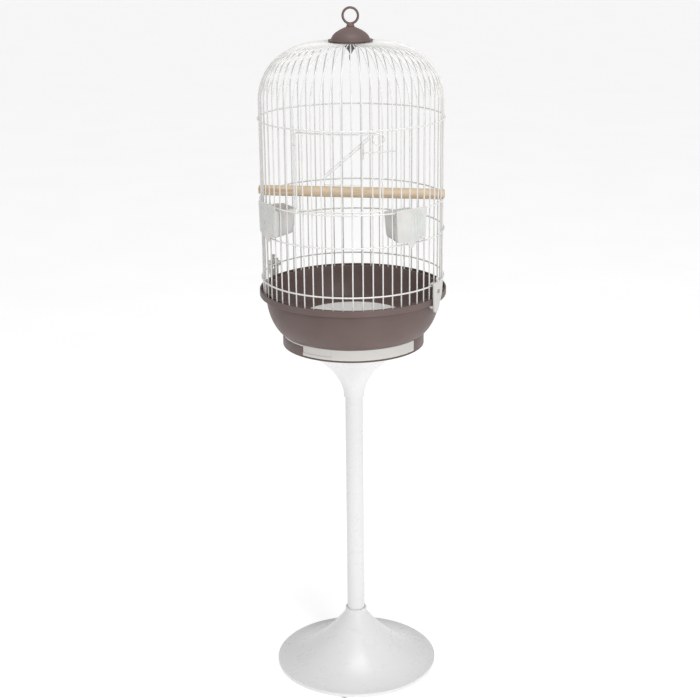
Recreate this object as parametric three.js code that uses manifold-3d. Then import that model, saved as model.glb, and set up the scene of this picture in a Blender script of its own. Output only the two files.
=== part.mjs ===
// A round wire bird cage on a pedestal stand: a domed cage with a front door, two feeder cups and a
// perch, clipped to a plastic tray with a pull-out drawer, on a trumpet-footed stand.
// Millimetres, +Z up. The origin is on the floor under the middle of the stand, the door faces -Y.
// An azimuth is counted from the front, -Y, towards +X.
import * as THREE from "three";
import { mergeVertices } from "three/addons/utils/BufferGeometryUtils.js";
import Module from "manifold-3d";

const wasm = await Module();
wasm.setup();

// ---- Driving dimensions ----------------------------------------------------------------------
const GAP = 0.3; // between pieces that touch

// Wirework
const WIRE_COUNT = 58;
const PITCH = 360 / WIRE_COUNT; // degrees between upright wires
const WIRE_CIRCLE = 159; // radius that the upright wires stand on
const WIRE_HALF = 1.35; // half diagonal of the four-sided wire section
const RING_WIRE_HALF = 1.55;
const RING_CIRCLE = WIRE_CIRCLE + 2.4; // the rings lie outside the upright wires
const RING_Z = [1050, 911, 855, 770]; // from the dome's springing down to the tray
const WIRE_FOOT_Z = 740;
const DOME_FOOT_Z = RING_Z[0] - 2; // where the bent wires take over from the upright ones
const DOME_SPRING_Z = 1082; // where the upright wires start to bend inwards
const DOME_TOP_Z = 1175;
const SHOULDER_CENTRE = 60; // radius at which the shoulder's quarter ellipse ends
const HUB_RADIUS = 24; // where the wires end under the cap
const HUB_Z = 1177.2;
const HUB_WIRE_HALF = 1.2;
const CROWN_ANGLE = 45; // where a bent wire is parted, half-way over the shoulder

// Groups of upright wires, named by where they stand; each is one welded panel
const FRONT_WIRES = 8;
const PANELS = [
  ["right_front", 2],
  ["right_cup", 3],
  ["right", 9],
  ["right_back", 4],
  ["back_right", 3],
  ["back", 8],
  ["back_left", 3],
  ["left_back", 4],
  ["left", 8],
  ["left_cup", 3],
  ["left_front", 3],
];
const CROWN_WIRES = [10, 10, 9, 10, 9, 10]; // wires in each piece of the crown, from the front round
const CROWN_FIRST = -4.5;

// Door
const DOOR_EDGE = (FRONT_WIRES / 2 + 0.5) * PITCH; // azimuth of the jamb wires
const DOOR_SIDE = DOOR_EDGE - 1.66; // azimuth of the door's own side wires
const DOOR_TOP_Z = RING_Z[0] - 5;
const DOOR_BOTTOM_Z = RING_Z[1] + 4.5;
const EYE_Z = [938, 1022];
const EYE_RADIUS = 2.9;
const EYE_WIRE_HALF = 1;
const LATCH_AZIMUTH = 2.5 * PITCH;
const LATCH_Z = 1016;
const LATCH_SLEEVE = { inner: 1.7, outer: 2.7, low: 1004, high: 1030 };
const LATCH_ARM = { circle: 164.9, start: LATCH_AZIMUTH + 1.3, end: 5.8 * PITCH, rootOut: 2.3, half: 1.1 };
const BRACE = {
  topAzimuth: 3.3 * PITCH, topZ: 1042, lowAzimuth: -1.2 * PITCH, lowZ: 977, pairGap: 5,
  footAzimuth: 2.6 * PITCH, footZ: 961, wireHalf: 1, overlap: 1,
};
const DOOR_LOOP = { azimuth: 4.05 * PITCH, z: 1036.5, radius: 10, wireHalf: 1, plane: 162.25 };

// Feeder cups
const CUP_WIRES = { right: 7.5, left: -8.5 }; // the wire behind the middle of each cup
const CUP_PANEL = { face: 165.9, back: 163.4, halfWidth: 33, low: 858, high: 916 };
const CUP_BODY = { back: 120, draft: 6, frontHalf: 30.5, backHalf: 27, low: 860, high: 907.5, rise: 5, wall: 2 };
const CUP_TAB = { halfWidth: 8, low: 849 };

// Perch
const PERCH_AZIMUTH = 14.5 * PITCH;
const PERCH_RADIUS = 9.5;
const PERCH_HALF_LENGTH = 164.5;
const PERCH_SHIFT = 2; // it lies a little to the left
const PERCH_Z = 918;
const PERCH_SLOT = { halfWidth: 1.8, start: 156 };
const PERCH_NOTCH = { start: 159.4, high: 913 }; // the cut that rests over a ring

// Cap, ring and hook
const CAP_BRIM = { radius: 38.5, z: 1179.2, thickness: 2 };
const CAP_DOME = { radius: 33, top: 1203, hole: 4, skin: 2.5, roundness: 1.8 };
const RING = { centreZ: 1221, radius: 13.25, half: 2.1 };
const RING_NECK = { stem: 3, foot: 7, waist: 6.2, waistLow: 1205, waistHigh: 1207, top: 4.2, topZ: 1209.5 };
const HUB_PLATE = { bore: 4, radius: 27.5, low: 1178.85, high: 1180.1 };
const CONE = {
  topZ: 1177.5, tipZ: 1157, topRadius: 12.5, tipRadius: 1.7, waistRadius: 4.3, waistZ: 1162.5, flangeZ: 1170,
  flangeStep: 1.9,
};
const HOOK = { radius: 5, half: 1.1, lowZ: 1146.5 };

// Tray
const TRAY = {
  rim: 166.3, rimInner: 163.5, rimZ: 748, lipZ: 737, grooveZ: 739.5, lipOuter: 155.8, lipInner: 153.3,
  innerLipZ: 746.5,
  bodyCentre: 105, bodyA: 50, bodyB: 79, bodyEndZ: 667.2, footRadius: 127, bottomZ: 644, wall: 2.5,
  floorZ: 690, holeRadius: 92, rebateRadius: 98, rebateDepth: 1.5,
};
const FLOOR_SLOTS = { count: 5, pitch: 9, halfWidth: 1.5, reach: 27 };
const DRAWER_AZIMUTH = 2.5 * PITCH;
const DRAWER = { halfWidth: 98, low: 647, high: 666.4, wall: 2, wingLow: 663.4, wingHigh: 666.4 };
const DRAWER_GRIP = { edge: -52, low: 653, depth: 1 };

// Clips that hold the cage to the tray's lip
const CLIP_AZIMUTHS = { clip_right: 11 * PITCH, clip_left: -18 * PITCH };
const CLIP = {
  inner: 168.2, outer: 172.6, top: 777, low: 725, topHalf: 14, lowHalf: 7, lean: 6, hookHalf: 6,
  eyeZ: 783, eyeRadius: 3.4, eyeBore: 1.4, windowHalf: 4.5, toeLow: 731.5, toeInner: 161.6,
};

// Stand
const TUBE = { radius: 16.2, bore: 14.2, low: 88, high: 580 };
const FLARE = { neck: 18.6, low: 540, rim: 96, rimZ: 636, topZ: 643.6, wall: 3 };
const BASE = {
  radius: 151.5, collar: 19.9, collarZ: 112, rimZ: 9, neckDrop: 94, power: 1.9, wall: 3, boreLowZ: 84,
  rimLowZ: 2.7, rimWidth: 18, rimDepth: 5.3,
};
const BALLAST = { inner: 46, outer: 106, low: 5, high: 15 };
const FOOT = { count: 5, circle: 141, radius: 8, high: 2.4 };

// ---- Helpers ---------------------------------------------------------------------------------
const rad = THREE.MathUtils.degToRad;

// A three.js geometry as a manifold-3d solid.
function solid(geometry) {
  const bare = geometry.index ? geometry.toNonIndexed() : geometry.clone();
  bare.deleteAttribute("normal");
  bare.deleteAttribute("uv");
  const merged = mergeVertices(bare, 1e-4);
  return new wasm.Manifold(
    new wasm.Mesh({
      numProp: 3,
      vertProperties: merged.attributes.position.array,
      triVerts: new Uint32Array(merged.index.array),
    }),
  );
}

// A manifold-3d solid as a three.js geometry.
function geometryOf(body) {
  const mesh = body.getMesh();
  const stride = mesh.numProp;
  const positions = new Float32Array(mesh.numVert * 3);
  for (let i = 0; i < mesh.numVert; i += 1) {
    positions.set(mesh.vertProperties.subarray(i * stride, i * stride + 3), i * 3);
  }
  const geometry = new THREE.BufferGeometry();
  geometry.setAttribute("position", new THREE.BufferAttribute(positions, 3));
  geometry.setIndex(new THREE.BufferAttribute(mesh.triVerts, 1));
  geometry.computeVertexNormals();
  return geometry;
}

const joined = (geometries) => geometries.map(solid).reduce((a, b) => a.add(b));

// A point at a radius, an azimuth in degrees and a height.
function at(radius, azimuth, z) {
  return new THREE.Vector3(radius * Math.sin(rad(azimuth)), -radius * Math.cos(rad(azimuth)), z);
}

// Turns a geometry made at the front, on -Y, to an azimuth.
const turned = (geometry, azimuth) => geometry.rotateZ(rad(azimuth));

// A regular polygon whose corners are `half` from its middle.
function section(half, sides) {
  const shape = new THREE.Shape();
  for (let i = 0; i < sides; i += 1) {
    const angle = (2 * Math.PI * i) / sides;
    const corner = [half * Math.cos(angle), half * Math.sin(angle)];
    if (i === 0) shape.moveTo(...corner);
    else shape.lineTo(...corner);
  }
  shape.closePath();
  return shape;
}

// A wire or rod along a curve.
function rod(curve, half, steps, sides = 4) {
  return new THREE.ExtrudeGeometry(section(half, sides), { steps, extrudePath: curve, bevelEnabled: false });
}

// A curve given by a function of 0..1.
class Path extends THREE.Curve {
  constructor(point) {
    super();
    this.point = point;
  }

  getPoint(t, target = new THREE.Vector3()) {
    return target.copy(this.point(t));
  }
}

const straight = (from, to) => new THREE.LineCurve3(from, to);

const through = (points) => new THREE.CatmullRomCurve3(points, false, "centripetal");

// Part of a level circle between two azimuths.
function arc(radius, z, start, end) {
  return new Path((t) => at(radius, start + (end - start) * t, z));
}

// A solid of revolution about Z from [radius, z] points.
function lathe(profile, segments) {
  const points = profile.map(([r, z]) => new THREE.Vector2(r, z));
  return new THREE.LatheGeometry(points, segments).rotateX(Math.PI / 2);
}

// A box between two corners, made at the front.
function box(x0, x1, y0, y1, z0, z1) {
  const geometry = new THREE.BoxGeometry(x1 - x0, y1 - y0, z1 - z0);
  return geometry.translate((x0 + x1) / 2, (y0 + y1) / 2, (z0 + z1) / 2);
}

// An upright disc, or post, at a place.
function post(radius, low, high, sides, x = 0, y = 0) {
  const geometry = new THREE.CylinderGeometry(radius, radius, high - low, sides).rotateX(Math.PI / 2);
  return geometry.translate(x, y, (low + high) / 2);
}

// An outline in the X-Z plane, as thick as y0..y1.
function slab(points, y0, y1) {
  const shape = new THREE.Shape(points.map(([x, z]) => new THREE.Vector2(x, z)));
  const geometry = new THREE.ExtrudeGeometry(shape, { depth: y1 - y0, bevelEnabled: false });
  return geometry.rotateX(Math.PI / 2).translate(0, y1, 0);
}

// ---- Materials -------------------------------------------------------------------------------
const colours = {
  white_wire: [0xefeeea, 0.45, 0.2],
  taupe_plastic: [0x6e625f, 0.5, 0],
  white_plastic: [0xdedfde, 0.45, 0],
  stand_plastic: [0xe9e9ea, 0.4, 0],
  clear_cup: [0xd3d5d4, 0.3, 0],
  black_plastic: [0x1c1b1c, 0.45, 0],
  wood: [0xd8bd98, 0.7, 0],
  steel: [0xc9cacb, 0.3, 0.9],
  ballast: [0x6b6a68, 0.8, 0.2],
  rubber: [0x2b2a2a, 0.9, 0],
};

const cage = new THREE.Group();

function add(name, look, geometry) {
  const [color, roughness, metalness] = colours[look];
  const mesh = new THREE.Mesh(geometry, new THREE.MeshStandardMaterial({ color, roughness, metalness }));
  mesh.name = name;
  cage.add(mesh);
}

// ---- Wirework --------------------------------------------------------------------------------

// The upright part of a wire, at the front, between two heights.
function upright(low, high) {
  return post(WIRE_HALF, low, high, 4, 0, -WIRE_CIRCLE);
}

// A point on a wire's bend over the shoulder, a quarter ellipse: 0 degrees at its springing.
function bend(angle) {
  const radius = SHOULDER_CENTRE + (WIRE_CIRCLE - SHOULDER_CENTRE) * Math.cos(rad(angle));
  return new THREE.Vector3(0, -radius, DOME_SPRING_Z + (DOME_TOP_Z - DOME_SPRING_Z) * Math.sin(rad(angle)));
}

// A wire from under the top ring half-way over the shoulder, at the front.
function shoulderWire() {
  const points = [new THREE.Vector3(0, -WIRE_CIRCLE, DOME_FOOT_Z), ...[0, 15, 30, CROWN_ANGLE].map(bend)];
  return rod(through(points), WIRE_HALF, 4);
}

// The rest of that wire, up to the hub under the cap.
function crownWire() {
  const start = CROWN_ANGLE + THREE.MathUtils.radToDeg(GAP / (DOME_TOP_Z - DOME_SPRING_Z));
  const points = [...[start, 60, 75, 90].map(bend), new THREE.Vector3(0, -HUB_RADIUS, HUB_Z)];
  return rod(through(points), WIRE_HALF, 4);
}

// The stretch of a ring that crosses a group of wires.
function ringStretch(z, first, last, circle = RING_CIRCLE, half = RING_WIRE_HALF) {
  const trim = THREE.MathUtils.radToDeg(GAP / 2 / circle);
  const start = (first - 0.5) * PITCH + trim;
  const end = (last + 0.5) * PITCH - trim;
  return rod(arc(circle, z, start, end), half, last - first + 1);
}

// Upright wires between two heights, with the rings that cross them there.
function wallPanel(first, last, low, high) {
  const rings = RING_Z.slice(1).filter((z) => z > low && z < high);
  const parts = rings.map((z) => ringStretch(z, first, last));
  for (let index = first; index <= last; index += 1) parts.push(turned(upright(low, high), index * PITCH));
  return geometryOf(joined(parts));
}

// Bent wires held by the top ring, and their upper ends held by the ring at the hub.
function bentWires(first, last, ring, wire) {
  const parts = [ring];
  for (let index = first; index <= last; index += 1) parts.push(turned(wire(), index * PITCH));
  return geometryOf(joined(parts));
}

function addDome(place, first, last) {
  const topRing = ringStretch(RING_Z[0], first, last);
  add(`dome_${place}`, "white_wire", bentWires(first, last, topRing, shoulderWire));
}

function addCrown() {
  let first = CROWN_FIRST;
  CROWN_WIRES.forEach((wires, i) => {
    const last = first + wires - 1;
    const hubRing = ringStretch(HUB_Z, first, last, HUB_RADIUS, HUB_WIRE_HALF);
    add(`crown_${i + 1}`, "white_wire", bentWires(first, last, hubRing, crownWire));
    first = last + 1;
  });
}

// The wires stop at the rings above and below the door and the two feeder cups.
function addWirework() {
  const frontLast = (FRONT_WIRES - 1) / 2;
  const wallTop = DOME_FOOT_Z - GAP;
  const overRing = RING_WIRE_HALF + 0.01;
  add("sill_front", "white_wire", wallPanel(-frontLast, frontLast, WIRE_FOOT_Z, RING_Z[1] + overRing));
  addDome("front", -frontLast, frontLast);
  let first = frontLast + 1;
  for (const [place, wires] of PANELS) {
    const last = first + wires - 1;
    if (place.endsWith("cup")) {
      add(`sill_${place}`, "white_wire", wallPanel(first, last, WIRE_FOOT_Z, RING_Z[2] + overRing));
      add(`wall_${place}`, "white_wire", wallPanel(first, last, RING_Z[1] - overRing, wallTop));
    } else {
      add(`wall_${place}`, "white_wire", wallPanel(first, last, WIRE_FOOT_Z, wallTop));
    }
    addDome(place, first, last);
    first = last + 1;
  }
}

// ---- Door ------------------------------------------------------------------------------------

// A wire eye on the door's side wire that turns on the jamb wire.
function hingeEye(z) {
  const centre = at(WIRE_CIRCLE, -DOOR_EDGE, z);
  const ring = new THREE.TorusGeometry(EYE_RADIUS, EYE_WIRE_HALF, 4, 10);
  return ring.translate(centre.x, centre.y, centre.z);
}

function frontDoor() {
  const steps = FRONT_WIRES + 1;
  const parts = [DOOR_BOTTOM_Z, DOOR_TOP_Z].map((z) => (
    rod(arc(WIRE_CIRCLE, z, -DOOR_SIDE, DOOR_SIDE), RING_WIRE_HALF, steps)
  ));
  for (const side of [-DOOR_SIDE, DOOR_SIDE]) parts.push(turned(upright(DOOR_BOTTOM_Z, DOOR_TOP_Z), side));
  for (let index = -(FRONT_WIRES - 1) / 2; index < FRONT_WIRES / 2; index += 1) {
    parts.push(turned(upright(DOOR_BOTTOM_Z, DOOR_TOP_Z), index * PITCH));
  }
  for (const z of EYE_Z) parts.push(hingeEye(z));
  return geometryOf(joined(parts));
}

// The sleeve that turns on a door wire, with the arm that reaches past the jamb.
function doorLatch() {
  const axis = at(WIRE_CIRCLE, LATCH_AZIMUTH, 0);
  const sleeve = solid(post(LATCH_SLEEVE.outer, LATCH_SLEEVE.low, LATCH_SLEEVE.high, 10, axis.x, axis.y));
  const bore = solid(post(LATCH_SLEEVE.inner, LATCH_SLEEVE.low - 1, LATCH_SLEEVE.high + 1, 8, axis.x, axis.y));
  const { circle, start, end, rootOut, half } = LATCH_ARM;
  const root = at(WIRE_CIRCLE + rootOut, LATCH_AZIMUTH, LATCH_Z);
  const arm = solid(rod(straight(root, at(circle, start + 0.3, LATCH_Z)), half, 1));
  const reach = solid(rod(arc(circle, LATCH_Z, start, end), half, 6));
  return geometryOf(sleeve.add(arm).add(reach).subtract(bore));
}

// A bent wire on the door's inner face: a pair of slopes from the latch corner down across the door,
// and a foot that runs back.
function doorBrace() {
  const b = BRACE;
  const circle = WIRE_CIRCLE - LATCH_SLEEVE.outer - GAP - b.wireHalf;
  const slope = (drop) => {
    const path = new Path((t) => at(
      circle,
      THREE.MathUtils.lerp(b.topAzimuth, b.lowAzimuth, t),
      THREE.MathUtils.lerp(b.topZ, b.lowZ, t) - drop,
    ));
    return rod(path, b.wireHalf, 4);
  };
  const riser = (azimuth, low, high) => (
    rod(straight(at(circle, azimuth, low - b.overlap), at(circle, azimuth, high + b.overlap)), b.wireHalf, 1)
  );
  const foot = rod(arc(circle, b.footZ, b.lowAzimuth, b.footAzimuth), b.wireHalf, 4);
  return geometryOf(joined([
    slope(0), slope(b.pairGap), foot,
    riser(b.topAzimuth, b.topZ - b.pairGap, b.topZ), riser(b.lowAzimuth, b.footZ, b.lowZ),
  ]));
}

// A wire loop on the outside of the door's free corner.
function doorLoop() {
  const { azimuth, z, radius, wireHalf, plane } = DOOR_LOOP;
  const ring = new THREE.TorusGeometry(radius, wireHalf, 4, 14).rotateX(Math.PI / 2);
  return turned(ring.translate(0, -plane, z), azimuth);
}

function addDoor() {
  add("front_door", "white_wire", frontDoor());
  add("door_latch", "white_plastic", doorLatch());
  add("door_brace", "white_wire", doorBrace());
  add("door_loop", "white_wire", doorLoop());
}

// ---- Feeder cups and perch -------------------------------------------------------------------

// A box that narrows to its back, whose floor rises to the back and whose back leans out over it.
function cupBlock(frontHalf, backHalf, front, back, low, high) {
  const geometry = box(-frontHalf, frontHalf, -front, -back, low, high);
  const place = geometry.attributes.position;
  for (let i = 0; i < place.count; i += 1) {
    if (place.getY(i) > -back - 1) {
      place.setX(i, Math.sign(place.getX(i)) * backHalf);
      if (place.getZ(i) < high - 1) {
        place.setZ(i, low + CUP_BODY.rise);
        place.setY(i, -back - CUP_BODY.draft);
      }
    }
  }
  return solid(geometry);
}

function feederCup(wire) {
  const { back, frontHalf, backHalf, low, high, wall } = CUP_BODY;
  const inset = wall + 1;
  const body = cupBlock(frontHalf, backHalf, CUP_PANEL.back + 1, back, low, high);
  const hollow = cupBlock(
    frontHalf - wall, backHalf - wall, CUP_PANEL.back - 1, back + wall, low + inset, high + 5,
  );
  const { halfWidth } = CUP_PANEL;
  const outline = [
    [-halfWidth, CUP_PANEL.high], [-halfWidth + 3, CUP_PANEL.low], [-CUP_TAB.halfWidth, CUP_PANEL.low],
    [-CUP_TAB.halfWidth / 2, CUP_TAB.low], [CUP_TAB.halfWidth / 2, CUP_TAB.low],
    [CUP_TAB.halfWidth, CUP_PANEL.low], [halfWidth - 3, CUP_PANEL.low], [halfWidth, CUP_PANEL.high],
  ];
  const panel = solid(slab(outline, -CUP_PANEL.face, -CUP_PANEL.back));
  return turned(geometryOf(body.add(panel).subtract(hollow)), wire * PITCH);
}

function perch() {
  const dowel = new THREE.CylinderGeometry(PERCH_RADIUS, PERCH_RADIUS, 2 * PERCH_HALF_LENGTH, 16);
  let body = solid(dowel.translate(0, PERCH_SHIFT, 0));
  for (const side of [-1, 1]) {
    const inner = side * PERCH_SLOT.start;
    const outer = side * (PERCH_HALF_LENGTH + 5);
    const { halfWidth } = PERCH_SLOT;
    const slot = box(-halfWidth, halfWidth, Math.min(inner, outer), Math.max(inner, outer), -20, 20);
    const rest = side * PERCH_NOTCH.start;
    const notch = box(-20, 20, Math.min(rest, outer), Math.max(rest, outer), -20, PERCH_NOTCH.high - PERCH_Z);
    body = body.subtract(solid(slot)).subtract(solid(notch));
  }
  return turned(geometryOf(body), PERCH_AZIMUTH).translate(0, 0, PERCH_Z);
}

// ---- Cap, hanging ring and hook --------------------------------------------------------------

function domeCap() {
  const { radius, z, thickness } = CAP_BRIM;
  const underside = [[CAP_DOME.radius - 2, z], [radius, z], [radius, z + thickness]];
  const outer = [];
  const inner = [];
  const steps = 5;
  const { hole, skin, top, roundness } = CAP_DOME;
  for (let i = 0; i <= steps; i += 1) {
    const angle = (Math.PI / 2) * (i / steps);
    const spread = Math.cos(angle) ** roundness;
    const foot = z + thickness;
    outer.push([hole + (CAP_DOME.radius - hole) * spread, foot + (top - foot) * Math.sin(angle)]);
    inner.push([hole + (CAP_DOME.radius - 2 - hole) * spread, z + (top - z - skin) * Math.sin(angle)]);
  }
  return lathe([...underside, ...outer, ...inner.reverse()], 24);
}

// The eye and its stem, one moulded piece that turns in the cap.
function hangingRing() {
  const eye = new THREE.TorusGeometry(RING.radius, RING.half, 8, 20).rotateX(Math.PI / 2);
  eye.translate(0, 0, RING.centreZ);
  const shoulderZ = CAP_DOME.top + GAP;
  const n = RING_NECK;
  const stem = lathe([
    [0, CONE.topZ + GAP], [n.stem, CONE.topZ + GAP], [n.stem, shoulderZ], [n.foot, shoulderZ],
    [n.waist, n.waistLow], [n.waist, n.waistHigh], [n.top, n.topZ - 0.6], [0, n.topZ],
  ], 16);
  return geometryOf(joined([eye, stem]));
}

// The welded disc that carries the wires' ends under the cap.
function hubPlate() {
  const { bore, radius, low, high } = HUB_PLATE;
  return lathe([[bore, low], [radius, low], [radius, high], [bore, high], [bore, low]], 24);
}

function capCone() {
  const c = CONE;
  return lathe([
    [0, c.tipZ], [c.tipRadius, c.tipZ], [c.waistRadius, c.waistZ], [c.topRadius - c.flangeStep, c.flangeZ - 1],
    [c.topRadius, c.flangeZ], [c.topRadius, c.topZ], [0, c.topZ],
  ], 20);
}

// A steel J under the cone, for a swing or a toy; it opens to the front.
function swingHook() {
  const { radius, lowZ } = HOOK;
  const centreZ = lowZ + radius + HOOK.half;
  const points = [new THREE.Vector3(0, 0, CONE.tipZ - GAP)];
  for (let i = 0; i <= 7; i += 1) {
    const angle = Math.PI * (1 + (1.25 * i) / 7);
    points.push(new THREE.Vector3(0, -radius - radius * Math.cos(angle), centreZ + radius * Math.sin(angle)));
  }
  return rod(through(points), HOOK.half, 9, 6);
}

function addTop() {
  add("hub_plate", "white_wire", hubPlate());
  add("dome_cap", "taupe_plastic", domeCap());
  add("hanging_ring", "taupe_plastic", hangingRing());
  add("cap_cone", "black_plastic", capCone());
  add("swing_hook", "steel", swingHook());
}

// ---- Tray, floor grid, drawer and clips ------------------------------------------------------

const bodyShare = (z) => Math.sqrt(1 - ((TRAY.lipZ - z) / TRAY.bodyB) ** 2);
const bodyRadius = (z) => TRAY.bodyCentre + TRAY.bodyA * bodyShare(z);

// Points down the tray's bowl between two heights, `inset` in from its outer face.
function bowlPoints(from, to, inset, steps) {
  const points = [];
  for (let i = 0; i <= steps; i += 1) {
    const z = THREE.MathUtils.lerp(from, to, i / steps);
    points.push([bodyRadius(z) - inset, z]);
  }
  return points;
}

function trayBowl() {
  const t = TRAY;
  const floorUnder = t.floorZ - t.wall - 1;
  const bottomTop = t.bottomZ + t.wall;
  return solid(lathe([
    [0, t.bottomZ], [t.footRadius, t.bottomZ], [t.footRadius, t.bodyEndZ],
    ...bowlPoints(t.bodyEndZ, t.lipZ, 0, 5),
    [t.rim - 1, t.lipZ], [t.rim, t.lipZ + 1], [t.rim, t.rimZ - 1.2], [t.rim - 1.2, t.rimZ],
    [t.rimInner, t.rimZ], [t.rimInner, t.grooveZ], [t.lipOuter, t.grooveZ], [t.lipOuter, t.innerLipZ],
    [t.lipInner, t.innerLipZ], ...bowlPoints(t.lipZ - 3, t.floorZ, t.wall, 3), [t.rebateRadius, t.floorZ],
    [t.rebateRadius, t.floorZ - t.rebateDepth], [t.holeRadius, t.floorZ - t.rebateDepth],
    [t.holeRadius, floorUnder], ...bowlPoints(floorUnder, t.bodyEndZ + 3, t.wall + 0.2, 1),
    [t.footRadius - t.wall, t.bodyEndZ + 3], [t.footRadius - t.wall, bottomTop], [0, bottomTop],
  ], 40));
}

function tray() {
  const { halfWidth, low } = DRAWER;
  const side = halfWidth + 0.6;
  const top = TRAY.bodyEndZ - 0.2;
  const opening = box(-side, side, -TRAY.rim, -40, low - 0.4, top);
  const slot = box(-TRAY.rim, -side + 1, -TRAY.rim, -3, DRAWER.wingLow - GAP, top);
  return geometryOf(
    trayBowl().subtract(solid(turned(opening, DRAWER_AZIMUTH))).subtract(solid(turned(slot, DRAWER_AZIMUTH))),
  );
}

// The white floor that lies in the tray's hole, with a few slots in its middle.
function floorGrid() {
  const radius = TRAY.rebateRadius - 0.5;
  const { count, pitch, halfWidth, reach } = FLOOR_SLOTS;
  let body = solid(post(radius, TRAY.floorZ - 1.2, TRAY.floorZ + 1.2, 40));
  for (let i = 0; i < count; i += 1) {
    const x = (i - (count - 1) / 2) * pitch;
    const half = Math.sqrt(reach ** 2 - x ** 2);
    body = body.subtract(solid(box(x - halfWidth, x + halfWidth, -half, half, TRAY.floorZ - 5, TRAY.floorZ + 5)));
  }
  return geometryOf(body);
}

// The drawer's outline in plan: straight sides, a round back and the foot ring's arc in front.
function drawerOutline(half, front, steps) {
  const points = [];
  for (let i = 0; i <= steps; i += 1) {
    const angle = Math.PI * (i / steps);
    points.push(new THREE.Vector2(half * Math.cos(angle), half * Math.sin(angle)));
  }
  const edge = Math.asin(half / front);
  for (let i = 0; i <= steps; i += 1) {
    const angle = -edge + 2 * edge * (i / steps);
    points.push(new THREE.Vector2(front * Math.sin(angle), -front * Math.cos(angle)));
  }
  return new THREE.Shape(points);
}

function drawer() {
  const { halfWidth, low, high, wall, wingLow, wingHigh } = DRAWER;
  const block = (half, front, from, to) => solid(
    new THREE.ExtrudeGeometry(drawerOutline(half, front, 14), { depth: to - from, bevelEnabled: false })
      .translate(0, 0, from),
  );
  const front = TRAY.footRadius - GAP;
  const shell = block(halfWidth, front, low, high).subtract(
    block(halfWidth - wall, front - wall, low + wall, high + 5),
  );
  const { edge, low: gripLow, depth } = DRAWER_GRIP;
  const skin = solid(post(front + 5, low, high + 10, 40)).subtract(
    solid(post(front - depth, low - 1, high + 11, 40)),
  );
  const grip = solid(box(-halfWidth - 5, edge, -front - 1, -40, gripLow, high + 5)).intersect(skin);
  const wing = solid(post(front, wingLow, wingHigh, 60)).intersect(
    solid(box(-front - 1, -halfWidth + wall, -front - 1, -6, wingLow - 1, wingHigh + 1)),
  );
  return turned(geometryOf(shell.subtract(grip).add(wing)), DRAWER_AZIMUTH);
}

// A lever that turns on the lowest ring and hooks under the tray's lip; a small eye stands on its top.
function clip(azimuth) {
  const c = CLIP;
  const waist = c.top - 22;
  const foot = -c.lean;
  const plate = solid(slab([
    [-c.topHalf, c.top], [-c.topHalf, waist], [foot - c.lowHalf, c.low + 4], [foot - c.lowHalf + 3, c.low],
    [foot + c.lowHalf - 3, c.low], [foot + c.lowHalf, c.low + 4], [c.topHalf, waist], [c.topHalf, c.top],
  ], -c.outer, -c.inner));
  const ringZ = RING_Z[3];
  const across = (radius, depth) => (
    new THREE.CylinderGeometry(radius, radius, depth, 12).translate(0, -(c.outer + c.inner) / 2, c.eyeZ)
  );
  const eye = solid(across(c.eyeRadius, c.outer - c.inner));
  const stem = solid(box(-2, 2, -c.outer, -c.inner, c.top - 1, c.eyeZ));
  const head = solid(box(-c.hookHalf, c.hookHalf, -c.inner - 1, -RING_CIRCLE + 4.4, ringZ - 4.4, ringZ + 4.4));
  const bore = new THREE.CylinderGeometry(2.2, 2.2, 40, 10).rotateZ(Math.PI / 2).translate(0, -RING_CIRCLE, ringZ);
  const mouth = box(-20, 20, -RING_CIRCLE - 1.9, -RING_CIRCLE + 1.9, ringZ - 8, ringZ);
  const toe = solid(box(foot - c.lowHalf, foot + c.lowHalf, -c.inner - 1, -c.toeInner, c.toeLow, TRAY.lipZ - 0.8));
  const window = box(-c.windowHalf, c.windowHalf, -c.outer - 1, -c.inner + 1, ringZ - 12.5, ringZ - 5.5);
  const body = plate.add(stem).add(eye).add(head).add(toe);
  const cuts = [bore, mouth, window, across(c.eyeBore, 20)];
  return turned(geometryOf(cuts.map(solid).reduce((left, cut) => left.subtract(cut), body)), azimuth);
}

function addTray() {
  add("tray", "taupe_plastic", tray());
  add("floor_grid", "white_plastic", floorGrid());
  add("drawer", "white_plastic", drawer());
  for (const [name, azimuth] of Object.entries(CLIP_AZIMUTHS)) add(name, "white_plastic", clip(azimuth));
}

// ---- Stand -----------------------------------------------------------------------------------

// The trumpet under the tray, a parabola: its face as [radius, z] points from the neck up.
function flareCurve(offset, steps) {
  const { neck, low, rim, rimZ } = FLARE;
  const points = [];
  for (let i = 0; i <= steps; i += 1) {
    const share = i / steps;
    points.push([neck + (rim - neck) * share ** 2 - offset, low + (rimZ - low) * share + offset / 2]);
  }
  return points;
}

function standFlare() {
  const { rim, topZ, wall, low } = FLARE;
  const outer = flareCurve(0, 7);
  const inner = flareCurve(wall, 7).reverse();
  return lathe([
    [TUBE.radius + GAP, low], ...outer, [rim, topZ], [0, topZ], [0, topZ - wall],
    [rim - wall, topZ - wall], ...inner.filter(([r]) => r > TUBE.radius + 1),
    [TUBE.radius + GAP, low + 14], [TUBE.radius + GAP, low],
  ], 28);
}

function standTube() {
  const { radius, bore, low, high } = TUBE;
  return lathe([[bore, low], [radius, low], [radius, high], [bore, high], [bore, low]], 24);
}

// The base's outer face: a collar, then a hollow curve out to a flat rim.
function baseCurve(steps, drop) {
  const { radius, collar, rimZ, neckDrop, power } = BASE;
  const points = [];
  for (let i = 0; i <= steps; i += 1) {
    const share = (i / steps) ** 1.6;
    const r = collar + (radius - collar) * share;
    points.push([r, rimZ + neckDrop * (1 - share) ** power - drop]);
  }
  return points;
}

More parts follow.
